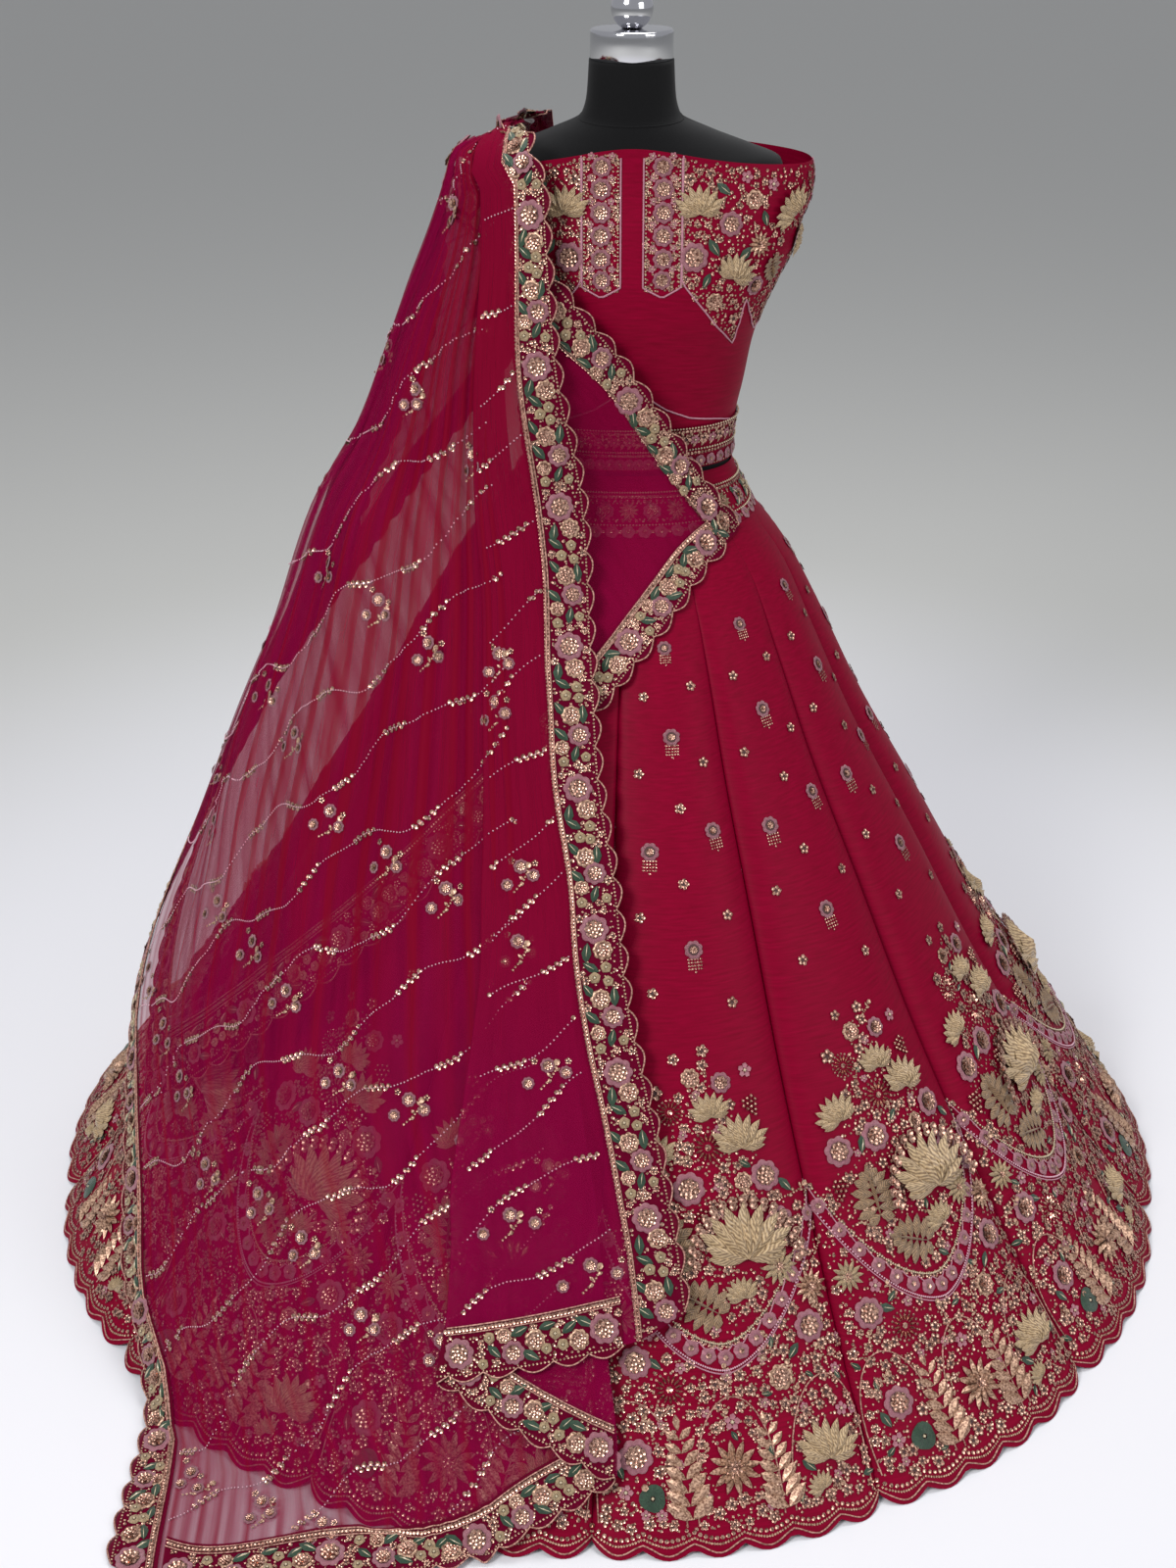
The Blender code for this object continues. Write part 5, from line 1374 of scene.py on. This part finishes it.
def make_finishes():
    return {
        "silk": raw_silk(),
        "band_silk": raw_silk("dark_crimson_silk", "#580018", "#800028"),
        "net": soft_net(),
        "border_net": soft_net("border_net", "#600022", "#600022", 0.93, 0.97),
        # In the thread finishes the first colour is the painted shade between rows and the second the painted
        # sheen on them.
        "dusty_pink": satin_thread("dusty_pink_thread", "#8A4A54", "#BC808C"),
        "ivory": satin_thread("ivory_thread", "#6A5038", "#DABE94", 0.42),
        # In the foil finishes the second colour is partly painted glint.
        "antique_gold": sequin_foil("antique_gold_beads", "#7A5644", "#CFA98E", 0.36, 0.45),
        "bronze": satin_thread("bronze_zari_thread", "#4A3626", "#AE8C68", 0.40),
        "dark_zari": plain_material("dark_zari_thread", "#4A2A2A", 0.6)[0],
        "leaf_green": satin_thread("leaf_green_thread", "#0E2618", "#2C5036", 0.5),
        "rose_gold": sequin_foil("rose_gold_sequins", "#74493C", "#DEB29C"),
        "pearl": pearl_bead("ivory_pearls", "#C9B99A"),
        "pink_pearl": pearl_bead("pink_pearls", "#D9A9B8"),
        "cord": sequin_foil("rose_gold_cord", "#84564A", "#CC9A8A", 0.45, 0.4),
        "pink_cord": satin_thread("pink_cord", "#A06074", "#CC92A2", 0.5),
        "jersey": black_jersey(),
        "chrome": polished_chrome(),
    }


# Embroidery layouts.


def random_fill(draw, width, low, high, spacing):
    """Evenly scattered places on a strip: metres from its middle and metres up."""
    rows = int((high - low) / spacing)
    columns = int(width / spacing)
    ups, xs = np.meshgrid(np.arange(rows), np.arange(columns) - 0.5 * columns, indexing="ij")
    xs = (xs + 0.5 + 0.5 * (ups % 2)) * spacing + draw.uniform(-0.35, 0.35, xs.shape) * spacing
    ups = low + (ups + 0.5) * spacing + draw.uniform(-0.35, 0.35, ups.shape) * spacing
    return xs.ravel(), ups.ravel()


def clear_of(xs, ups, taken, margin):
    """Which places lie clear of the circles that the larger motifs take."""
    keep = np.ones(len(xs), bool)
    for x, up, radius in taken:
        keep &= (xs - x) ** 2 + (ups - up) ** 2 > (radius + margin) ** 2
    return keep


def taken_circles(rows):
    circles = []
    for motif, x, up, turn, size in rows:
        if motif.endswith("_lotus"):
            angle = (90.0 + turn) * DEGREE
            along, above = 0.45 * size * math.cos(angle), 0.45 * size * math.sin(angle)
            circles.append((x + along, up + above, 0.55 * size))
        elif motif == "gold_plume":
            circles += [(x, up + size * share, 0.010) for share in (0.1, 0.3, 0.5, 0.7, 0.9)]
        elif motif in TAKEN_SHARES:
            circles.append((x, up, size * TAKEN_SHARES[motif]))
    return circles


def garland(x, half):
    """How far up the panel its hanging garland lies."""
    return GARLAND_LOW + GARLAND_RISE * np.abs(x / half) ** GARLAND_POWER


def garland_half(cloth):
    """Half the panel's width where its garland hangs."""
    return 0.5 * np.interp(GARLAND_LEVEL, cloth.ups, cloth.widths)


def bouquet_top(x):
    """How far up the panel its bouquet reaches."""
    return BOUQUET_LOW + BOUQUET_RISE * np.exp(-(x / BOUQUET_SPREAD) ** 2)


def sew_kali(sewing, cloth, draw):
    """The embroidery of one skirt panel."""
    jitter = draw.uniform(-1.0, 1.0, (len(KALI_MOTIFS), 4))
    rows = [(m, x + 0.003 * j[0], up + 0.003 * j[1], turn + 8.0 * j[2], size * (1.0 + 0.06 * j[3]))
            for (m, x, up, turn, size), j in zip(KALI_MOTIFS, jitter)]
    for motif, x, up, turn, size in rows + list(BUTTI_MOTIFS):
        sewing.put(motif, cloth, cloth.from_middle(x, up), up, turn, size)
    taken = taken_circles(rows)

    for motif, spacing, size, margin, lean in KALI_FILL:
        xs, ups = random_fill(draw, KALI_FILL_WIDTH, *KALI_FILL_HEIGHTS, spacing)
        half = 0.5 * np.interp(ups, cloth.ups, cloth.widths)
        keep = clear_of(xs, ups, taken, margin) & (np.abs(xs) < half - 0.006) & (ups < bouquet_top(xs))
        keep &= np.abs(ups - garland(xs, half) - 0.016) > 0.021
        sizes = size * draw.uniform(0.8, 1.2, keep.sum())
        turns = draw.uniform(-lean, lean, keep.sum())
        sewing.put(motif, cloth, cloth.from_middle(xs[keep], ups[keep]), ups[keep], turns, sizes)
    sew_garland(sewing, cloth)
    sew_hem(sewing, cloth)


def sew_garland(sewing, cloth):
    """The hanging garland: pearls on both sides of a row of shells, and florets above."""
    half = garland_half(cloth)
    x = np.linspace(-0.5, 0.5, 121)
    for motif, rise in (("pink_pearl", 0.0), ("pearl", 0.030)):
        sewing.put(motif, cloth, x + 0.5, garland(2.0 * x * half, half) + rise, 0.0, 0.0016)
    shells = (np.arange(GARLAND_SHELLS) + 0.5) / GARLAND_SHELLS
    offset = (shells - 0.5) * 2.0 * half
    steepness = GARLAND_RISE * GARLAND_POWER * np.abs(offset / half) ** (GARLAND_POWER - 1.0) / half
    lean = np.degrees(np.arctan(steepness)) * np.sign(offset)
    sewing.put("pink_shell", cloth, shells, garland(offset, half) + 0.014, 180.0 + lean, 0.0100)
    number = np.arange(GARLAND_FLORETS)
    florets = (number + 0.5) / GARLAND_FLORETS
    rise = garland((florets - 0.5) * 2.0 * half, half) + 0.028
    sewing.put("sequin_floret", cloth, florets, rise, 20.0 * number, 0.0050)


def sew_hem(sewing, cloth):
    """A row of seed beads and a row of sequins that follow the scalloped hem."""
    edge = np.linspace(0.005, 0.995, 109)
    sewing.put("seed", cloth, edge, 0.010 + hem_rise(edge), 0.0, 0.0017)
    sewing.put("sequin", cloth, edge[::2], 0.016 + hem_rise(edge[::2]), 0.0, 0.0026)


def kali_cords(cloth):
    """The cord on the hem's scallops, and the arches above it."""
    across = np.linspace(0.0, 1.0, 73)
    lines = [cloth.line(across, 0.0035 + hem_rise(across), 0.0012)]
    angle = np.linspace(0.0, math.pi, 25)
    up = 0.030 + 0.138 * np.sin(angle) ** 0.8
    for middle in ARCH_MIDDLES:
        lines.append(cloth.line(cloth.from_middle(middle - 0.052 * np.cos(angle), up), up, 0.0010))
    return lines


def garland_cords(cloth):
    """The plain cord below the garland's shells and the scalloped one above them."""
    lines = []
    across = np.linspace(0.0, 1.0, 121)
    half = garland_half(cloth)
    for drop, wave in ((-0.004, 0.0), (0.026, 0.006)):
        waves = wave * np.abs(np.sin(GARLAND_SHELLS * math.pi * across))
        lines.append(cloth.line(across, garland((across - 0.5) * 2.0 * half, half) + drop - waves, 0.0010))
    return lines


def border_scallop(up):
    return BORDER_SCALLOP_DEPTH * np.abs(np.sin(math.pi * up / BORDER_SCALLOP))


def sew_border(sewing, strip, draw, lift, scalloped=True):
    """A border's embroidery: roses, buds, leaves and florets in a close ground of sequins."""
    length = strip.ups[-1]
    width = float(np.mean(strip.widths))
    taken = []

    def put(motif, t, up, turn, size):
        sewing.put(motif, strip, t / width, up, turn, size, lift)

    for number in range(int(length / BORDER_UNIT) + 1):
        for motif, t, up, turn, size in BORDER_MOTIFS:
            t = t + draw.uniform(-0.0015, 0.0015)
            up = up + number * BORDER_UNIT + draw.uniform(-0.002, 0.002)
            if size < up < length - size:
                put(motif, t, up, turn, size)
                taken.append((t, up, size * (0.75 if motif == "green_leaf" else 1.0)))

    def fill(motif, spacing, size, margin):
        xs, ups = random_fill(draw, 0.046, 0.0, length, spacing)
        xs = xs + 0.023
        keep = clear_of(xs, ups, taken, margin) & (xs > 0.002) & (xs < 0.0445)
        keep &= (ups > 0.003) & (ups < length - 0.003)
        sizes = size * draw.uniform(0.85, 1.2, keep.sum())
        put(motif, xs[keep], ups[keep], draw.uniform(0.0, 360.0, keep.sum()), sizes)

    fill("sequin_floret", 0.0102, 0.0049, 0.0018)
    fill("seed", 0.0062, 0.0015, 0.0)
    fill("sequin", 0.0095, 0.0022, 0.0006)
    line = np.arange(0.002, length - 0.002, 0.0044)
    put("sequin", 0.0510, line, 0.0, 0.0026)
    if scalloped:
        put("seed", -border_scallop(line) + 0.0026, line, 0.0, 0.0015)


def border_cords(strip, lift, scalloped):
    """The cords along a border's outer edge and its inner line."""
    up = np.arange(0.0, strip.ups[-1], 0.004)
    width = float(np.mean(strip.widths))
    lines = []
    edge = np.zeros(len(up))
    outline = -border_scallop(up) if scalloped else edge
    east = strip.at(edge, up)[1]
    for t in (outline, edge + BORDER_CORDS[0], edge + BORDER_CORDS[1]):
        point, _, normal = strip.at(np.maximum(t, 0.0) / width, up)
        lines.append(point + east * np.minimum(t, 0.0)[:, None] + normal * lift)
    return lines


def scalloped_strip(strip, scalloped):
    """A border's cloth, with its scalloped lip where it has one."""
    up = np.arange(0.0, strip.ups[-1] + 0.002, 0.004)
    columns = [strip.at(np.full(len(up), share), up)[0] for share in np.linspace(0.0, 1.0, 9)]
    if scalloped:
        point, east, _ = strip.at(np.zeros(len(up)), up)
        lip = point - east * border_scallop(up)[:, None]
        columns = [lip, mix(lip, point, 0.5)] + columns
    return Cloth(np.array(columns).transpose(1, 0, 2))


def on_choli(cloth, x, z):
    """The share across and the metres up where the choli's front has this x and height."""
    x, z = np.broadcast_arrays(np.atleast_1d(x), np.atleast_1d(z))
    rows = np.arange(len(cloth.ups))
    across = np.full(x.shape, 0.5)
    for _ in range(3):
        column = np.rint(across * (cloth.points.shape[1] - 1)).astype(int)
        row = np.array([np.interp(h, cloth.points[:, c, 2], rows) for h, c in zip(z, column)])
        level = np.rint(row).astype(int)
        across = np.array([np.interp(p, cloth.points[r, :, 0], cloth.shares) for p, r in zip(x, level)])
    return across, np.interp(row, rows, cloth.ups)


def inside(polygon, x, z):
    """Which points lie in a polygon."""
    result = np.zeros(len(x), bool)
    for (x1, z1), (x2, z2) in zip(polygon, polygon[1:] + polygon[:1]):
        crosses = (z1 > z) != (z2 > z)
        result ^= crosses & (x < x1 + (z - z1) * (x2 - x1) / (z2 - z1 + 1e-12))
    return result


def sew_choli(sewing, cloth, draw):
    """The choli's centre plaques and its side panels."""
    for side in (1.0, -1.0):
        taken = []
        for x, z, size in PLAQUE_FLOWERS:
            across, up = on_choli(cloth, side * x, z)
            sewing.put("pink_rose", cloth, across, up, draw.uniform(-20.0, 20.0), size)
            taken.append((side * x, z, size))
            for shift in (-0.0135, 0.0135):
                across, up = on_choli(cloth, side * (x + shift * 0.9), z + 0.0125)
                sewing.put("pink_floret", cloth, across, up, 0.0, 0.0045)
        for motif, x, z, turn, size in PANEL_MOTIFS:
            across, up = on_choli(cloth, side * x, z)
            sewing.put(motif, cloth, across, up, side * turn, size)
        circles = [(side * x, z, r) for x, z, r in taken_circles(PANEL_MOTIFS)] + taken
        for motif, spacing, size in CHOLI_FILL:
            xs, ups = random_fill(draw, 0.40, 0.155, 0.385, spacing)
            across = np.clip(0.5 + xs / 0.40, 0.0, 1.0)
            point = cloth.at(across, ups)[0]
            panel = inside(PANEL, side * point[:, 0], point[:, 2])
            plaque = (side * point[:, 0] > 0.016) & (side * point[:, 0] < 0.057) & (point[:, 2] > 1.252)
            keep = (panel | plaque) & clear_of(point[:, 0], point[:, 2], circles, 0.0003)
            sewing.put(motif, cloth, across[keep], ups[keep], draw.uniform(0, 360, keep.sum()), size)
        heights = np.linspace(1.258, 1.400, 34)
        for x, motif, size in PLAQUE_LINES:
            across, up = on_choli(cloth, side * x, heights)
            sewing.put(motif, cloth, across, up, 0.0, size)


def choli_cords(cloth):
    lines = []
    for side in (1.0, -1.0):
        for outline in (PLAQUE, PANEL, WAIST_CURVE):
            corners = np.array(outline)
            steps = np.concatenate([[0.0], np.cumsum(np.linalg.norm(np.diff(corners, axis=0), axis=1))])
            along = np.linspace(0.0, steps[-1], 60)
            x = side * np.interp(along, steps, corners[:, 0])
            z = np.minimum(np.interp(along, steps, corners[:, 1]), 1.408)
            lines.append(cloth.line(*on_choli(cloth, x, z), 0.0012))
    return lines


def sew_band(sewing, cloth, draw, rows):
    """Level rows of pearls, florets and leaves round a band: motif, spacing, up, size, turn, shift."""
    length = float(cloth.widths.mean())
    for motif, spacing, up, size, turn, shift in rows:
        count = int(length / spacing)
        across = (np.arange(count) + shift) / count
        across = across[across <= 1.0]
        turns = turn + draw.uniform(-6.0, 6.0, len(across))
        sewing.put(motif, cloth, across, np.full(len(across), up), turns, size, 0.0008)


def visible_spread(cloth):
    """Metres from the right edge, measured level round the drape, at every grid point."""
    centre_x, centre_y = skirt_centre(np.maximum(cloth.points[..., 2], 0.0))
    azimuth = np.arctan2(cloth.points[..., 0] - centre_x, centre_y - cloth.points[..., 1])
    radius = np.hypot(cloth.points[..., 0] - centre_x, cloth.points[..., 1] - centre_y)
    return (azimuth[:, -1:] - azimuth) * radius


def vine_lines(cloth, first, last):
    """The net's beaded lines, which fall away from the right border in slow waves."""
    spread = visible_spread(cloth)
    columns = np.arange(first, last)
    lines = []
    for number, start in enumerate(VINE_STARTS):
        up = np.full(len(columns), start)
        for _ in range(8):
            rows = np.clip(np.searchsorted(cloth.ups, up), 0, len(cloth.ups) - 1)
            distance = spread[rows, columns]
            fallen = start - VINE_SLOPE * distance + 0.015 * np.sin(distance * 24.0 + 2.1 * number)
            up = mix(up, fallen + 0.004 * np.sin(distance * 63.0 + number), 0.6)
        keep = (up > 0.062) & (up < cloth.ups[-1] - 0.02)
        if keep.sum() > 2:
            lines.append((cloth.shares[columns][keep], up[keep], distance[keep]))
    return lines


def along(line, metres):
    """Places along a line of the net, by metres from the right border."""
    shares, ups, distance = line
    order = np.argsort(distance)
    metres = metres[(metres > distance[order[0]]) & (metres < distance[order[-1]])]
    return np.interp(metres, distance[order], shares[order]), np.interp(metres, distance[order], ups[order])


def sew_net(sewing, cloth, zones):
    """Beaded lines, sequin clusters and small sprigs on the layers of net that show."""
    width = float(np.mean(cloth.widths))
    for first, last in zones:
        for number, line in enumerate(vine_lines(cloth, first, last)):
            across, up = along(line, np.arange(0.0, 1.6, 0.0046))
            sewing.put("pink_pearl", cloth, across, up, 0.0, 0.0013)
            middles = np.arange(0.045 + 0.03 * (number % 3), 1.5, 0.098)
            for step in range(-4, 5):
                across, up = along(line, middles + 0.0042 * step)
                rise = 0.0022 * (-1.0) ** step
                sewing.put("sequin", cloth, across, up + rise, 40.0 * step, 0.0029)
            across, up = along(line, np.arange(0.10 + 0.08 * (number % 3), 1.5, 0.26))
            low = np.maximum(up - 0.062, 0.03)
            sewing.put("gold_sprig", cloth, across, low, -20.0, 0.034)
            for motif, sideways, rise, size in NET_SPRIG:
                sewing.put(motif, cloth, across + sideways / width, low + rise, 0.0, size)


# Pieces of the model.


def refinish(node, material):
    """Give a CAD node that stays as it is a better finish."""
    for slot in bpy.data.objects[node].material_slots:
        slot.material = material


def turned_piece(name, profile, material, sides=64):
    """A smooth round piece from its outline of radius and height, lowest first."""
    angles = np.linspace(0.0, 2.0 * math.pi, sides, endpoint=False)
    points = [(r * math.cos(a), r * math.sin(a), z) for r, z in profile for a in angles]
    return mesh_piece(name, points, capped_faces(len(profile), sides), material)


def rounded_profile(radius, low, high, edge):
    """An upright cylinder's outline with its top edge rounded."""
    turns = np.linspace(0.0, 0.5 * math.pi, 7)
    top = [(radius - edge + edge * math.cos(a), high - edge + edge * math.sin(a)) for a in turns]
    return [(radius - 0.0006, low), (radius, low + 0.0006)] + top + [(0.5 * radius, high), (0.001, high)]


def make_form(finishes):
    """The smooth jersey torso with its neck seam, the chrome cap and the ball."""
    chrome = finishes["chrome"]
    heights = np.unique(np.concatenate([np.linspace(0.78, 1.37, 60), np.linspace(1.37, 1.499, 40)]))
    azimuth, height = np.meshgrid(np.linspace(-180.0, 180.0, 97)[:-1], heights)
    rows, columns = height.shape
    points = form_point(azimuth, height).reshape(-1, 3)
    torso = mesh_piece("form_jersey", points, capped_faces(rows, columns), finishes["jersey"])
    dress(torso, ("form_torso",))
    turn = np.linspace(-180.0, 180.0, 73)
    seam = form_point(turn, NECK_SEAM_HEIGHT - NECK_SEAM_DIP * np.cos(turn * DEGREE))
    dress(cord_piece("form_neck_seam", [seam], NECK_SEAM_RADIUS, finishes["jersey"]))
    cap = rounded_profile(CAP_RADIUS, CAP_LOW, CAP_LOW + CAP_HEIGHT, 0.0035)
    dress(turned_piece("form_cap", cap, chrome), ("form_neck_cap",))
    seat = CAP_LOW + CAP_HEIGHT + 0.0003
    start = math.asin(BALL_SEAT_RADIUS / BALL_RADIUS)
    middle = seat + BALL_RADIUS * math.cos(start)
    angles = np.linspace(start, math.pi - 0.02, 32)
    ball = [(BALL_RADIUS * math.sin(a), middle - BALL_RADIUS * math.cos(a)) for a in angles]
    dress(turned_piece("form_ball", ball, chrome), ("form_finial",))
    for node in ("form_base", "form_pole_socket", "form_pole"):
        refinish(node, chrome)


def make_lehenga(finishes):
    """Fourteen panels, the waistband and their embroidery."""
    draw = np.random.default_rng(SEED)
    sewing = Sewing("lehenga")
    hem_lines, garland_lines = [], []
    for index in range(KALI_COUNT):
        cloth = kali_cloth(index)
        name = f"lehenga_kali_{index + 1:02d}"
        panel = dress(sheet_piece(name + "_silk", cloth, finishes["silk"]), (name,))
        sew_kali(sewing, cloth, draw)
        hem_lines += kali_cords(cloth)
        garland_lines += garland_cords(cloth)
    sewing.sew(finishes)
    dress(cord_piece("lehenga_hem_cords", hem_lines, 0.0011, finishes["cord"]))
    dress(cord_piece("lehenga_garland_cords", garland_lines, 0.0009, finishes["pink_cord"]))
    make_waistband(finishes, draw)


def make_waistband(finishes, draw):
    cloth = waistband_cloth()
    band = dress(sheet_piece("lehenga_waistband_silk", cloth, finishes["silk"], closed=True),
                 ("lehenga_waistband",))
    sewing = Sewing("waistband")
    sew_band(sewing, cloth, draw, WAISTBAND_STITCHES)
    sewing.sew(finishes)


def make_choli(finishes):
    draw = np.random.default_rng(SEED + 1)
    front = choli_cloth(-90.0, 90.0, CHOLI_BOTTOM, None, 66)
    back = choli_cloth(90.0, 270.0, CHOLI_BOTTOM, None, 66)
    for name, cloth in (("choli_front", front), ("choli_back", back)):
        piece = dress(sheet_piece(name + "_silk", cloth, finishes["silk"]), (name,))
    sewing = Sewing("choli")
    sew_choli(sewing, front, draw)
    band = choli_cloth(-180.0, 180.0, CHOLI_BOTTOM + 0.0005, CHOLI_BORDER_TOP, 8)
    dress(sheet_piece("choli_waist_band", band, finishes["band_silk"], 0.0016, True),
          ("choli_waist_border",))
    raised = Cloth(band.lifted(0.0016))
    sew_band(sewing, raised, draw, CHOLI_BAND_STITCHES)
    sewing.sew(finishes)
    dress(cord_piece("choli_cords", choli_cords(front), 0.0011, finishes["pink_cord"]))


def make_borders(finishes, strips):
    """Each border's net with its embroidery and cords; returns the pieces of net."""
    draw = np.random.default_rng(SEED + 2)
    sewing = Sewing("dupatta_border")
    pieces, cord_lines = [], []
    for name, node, strip, scalloped in strips:
        ground = sheet_piece(name, scalloped_strip(strip, scalloped), finishes["border_net"], 0.0014)
        pieces.append(dress(ground, (node,) if node else ()))
        sew_border(sewing, strip, draw, 0.0022, scalloped)
        cord_lines += border_cords(strip, 0.0026, scalloped)
    sewing.sew(finishes)
    dress(cord_piece("dupatta_border_cords", cord_lines, 0.0011, finishes["cord"]))
    return pieces


def facing(strip, parent, turned_over=False):
    """The strip with its rows turned where needed, so that it faces as its cloth does, or away."""
    row, column = strip.normal.shape[0] // 2, strip.normal.shape[1] // 2
    middle = strip.points[row, column]
    distance = np.linalg.norm(parent.points - middle, axis=2)
    nearest = np.unravel_index(np.argmin(distance), distance.shape)
    if (strip.normal[row, column] @ parent.normal[nearest] < 0.0) != turned_over:
        return Cloth(strip.points[::-1])
    return strip


def make_dupatta(finishes):
    """The dupatta's three stretches of net, its borders and the beading on the net."""
    fall, loop, under = fall_cloth(), loop_cloth(), under_cloth()
    strips = []
    for name, node, parent, points, scalloped in (
            ("dupatta_front_border_net", "dupatta_front_border", fall, fall.points[:, ::-1][:, :5], True),
            ("dupatta_left_border_net", "dupatta_left_border", fall, fall.points[:, :5], True),
            ("dupatta_end_top_net", "dupatta_front_end_border", fall,
             fall.points[:5, -20:-5].transpose(1, 0, 2), True),
            ("dupatta_end_middle_net", None, fall, fall.lifted(-0.0012)[:5, -32:-19].transpose(1, 0, 2), True),
            ("dupatta_end_low_net", None, fall, fall.points[:5, 5:-31].transpose(1, 0, 2), True),
            ("dupatta_loop_inner_net", "dupatta_loop_inner_border", loop, loop.points[:, ::-1][:, :5], False),
            ("dupatta_loop_outer_net", "dupatta_loop_outer_border", loop, loop.points[:, :5], False),
            ("dupatta_under_border_net", "dupatta_under_border", under, side_strip(under, "right"), True),
            ("dupatta_under_left_net", "dupatta_under_left_border", under, side_strip(under, "left"), True),
            ("dupatta_under_end_net", "dupatta_under_end_border", under, side_strip(under, "end"), True)):
        turned_over = name == "dupatta_end_middle_net"
        strips.append((name, node, facing(Cloth(points), parent, turned_over), scalloped))
    borders = make_borders(finishes, strips)
    for name, node, cloth, flat, rests, area, going in (
            ("dupatta_front_net", "dupatta_front_fall", fall, (1.05, 1.66), ["lehenga_kali_01_silk"], None,
             borders[:5]),
            ("dupatta_shoulder_net", "dupatta_shoulder_loop", loop, (0.30, 0.24), ["form_jersey"], None,
             borders[5:7]),
            ("dupatta_under_net", "dupatta_under_fall", under, (1.05, 0.90), ["choli_front_silk"], 0.90,
             borders[7:])):
        cover = fall_cover(cloth) if cloth is fall else folds_of(cloth)
        piece = dress(sheet_piece(name, cloth, finishes["net"], folds=cover), (node,))
    sewing = Sewing("net")
    count = fall.points.shape[1]
    sew_net(sewing, fall, ((5, count - 45), (count - 17, count - 5)))
    sewing.sew(finishes)


def folds_of(cloth):
    """How gathered the net is at each grid point, from 0 to 1."""
    shares = np.broadcast_to(cloth.shares, cloth.points.shape[:2])
    folds = 0.5 + 0.5 * fine_folds(1.0 - shares, cloth.points[..., 2])
    return folds ** 2.0


def fall_cover(cloth):
    """The front fall's folds: denser where more net lies behind it, thinner at its left edge."""
    across, height = 1.0 - cloth.shares, cloth.points[..., 2]
    edge = np.interp(height, *SINGLE_NET_FROM)
    doubled = ease((edge - across) / 0.12) * mix(LOW_COVER, 1.0, ease((height - 0.30) / 0.40))
    single = ease((across - edge) / 0.08) * ease(height / 0.8)
    return folds_of(cloth) + DOUBLED_COVER * doubled - SINGLE_COVER * single


def side_strip(cloth, side, samples=5):
    """A border's grid along a side of a cloth, its first column on the edge."""
    share = np.linspace(0.0, 1.0, samples)
    if side == "end":
        columns = np.linspace(0.05, 0.95, 75)
        return np.array([[cloth.at(c, BORDER * s)[0] for s in share] for c in columns])
    across = share[None, :] * BORDER / cloth.widths[:, None]
    across = 1.0 - across if side == "right" else across
    ups = np.repeat(cloth.ups[:, None], samples, axis=1)
    return cloth.at(across, ups)[0]


def make_studio():
    """A floor, white near the form and greyer far off, and large soft lights."""
    floor_material, tree, shader = plain_material("white_floor", "#E9E8EA", 0.7)
    coordinates = add_node(tree, "ShaderNodeTexCoord")
    distance = add_node(tree, "ShaderNodeVectorMath", {0: coordinates.outputs["Object"]}, operation="LENGTH")
    away = add_node(tree, "ShaderNodeMapRange", {
        "Value": distance.outputs["Value"], "From Min": FLOOR_WHITE_TO, "From Max": FLOOR_GREY_FROM},
        interpolation_type="SMOOTHSTEP")
    vary_colour(tree, shader, away.outputs["Result"], "#ECECF0", "#D2D2CE")
    corners = [(FLOOR_HALF * x, FLOOR_HALF * y, FLOOR_LEVEL) for x, y in ((-1, -1), (1, -1), (1, 1), (-1, 1))]
    floor = mesh_piece("studio_floor", corners, [(0, 1, 2, 3)], floor_material, False)
    world = bpy.data.worlds.new("studio_light")
    world.use_nodes = True
    world.node_tree.nodes["Background"].inputs["Color"].default_value = hex_colour("#EEF0F6")
    world.node_tree.nodes["Background"].inputs["Strength"].default_value = WORLD_STRENGTH
    bpy.context.scene.world = world
    for name, place, aim_height, size, power in LIGHTS:
        light = bpy.data.lights.new(name, "AREA")
        light.size = size
        light.energy = power
        lamp = scene_object(name, light)
        lamp.location = place
        aim = Vector((0.0, 0.0, aim_height)) - Vector(place)
        lamp.rotation_euler = aim.to_track_quat("-Z", "Y").to_euler()


def make_camera():
    """The photograph's viewpoint, found from the form's cap, shoulders and the hem."""
    camera_data = bpy.data.cameras.new("photo_camera")
    camera_data.sensor_fit = "VERTICAL"
    camera_data.sensor_height = CAMERA_SENSOR
    camera_data.lens = CAMERA_LENS
    camera = scene_object("photo_camera", camera_data)
    camera.location = CAMERA_PLACE
    camera.rotation_euler = (CAMERA_TILT * DEGREE, 0.0, 0.0)
    bpy.context.scene.camera = camera


finishes = make_finishes()
make_camera()
make_form(finishes)
make_lehenga(finishes)
make_choli(finishes)
make_dupatta(finishes)
make_studio()
bpy.context.scene.view_settings.view_transform = "Standard"
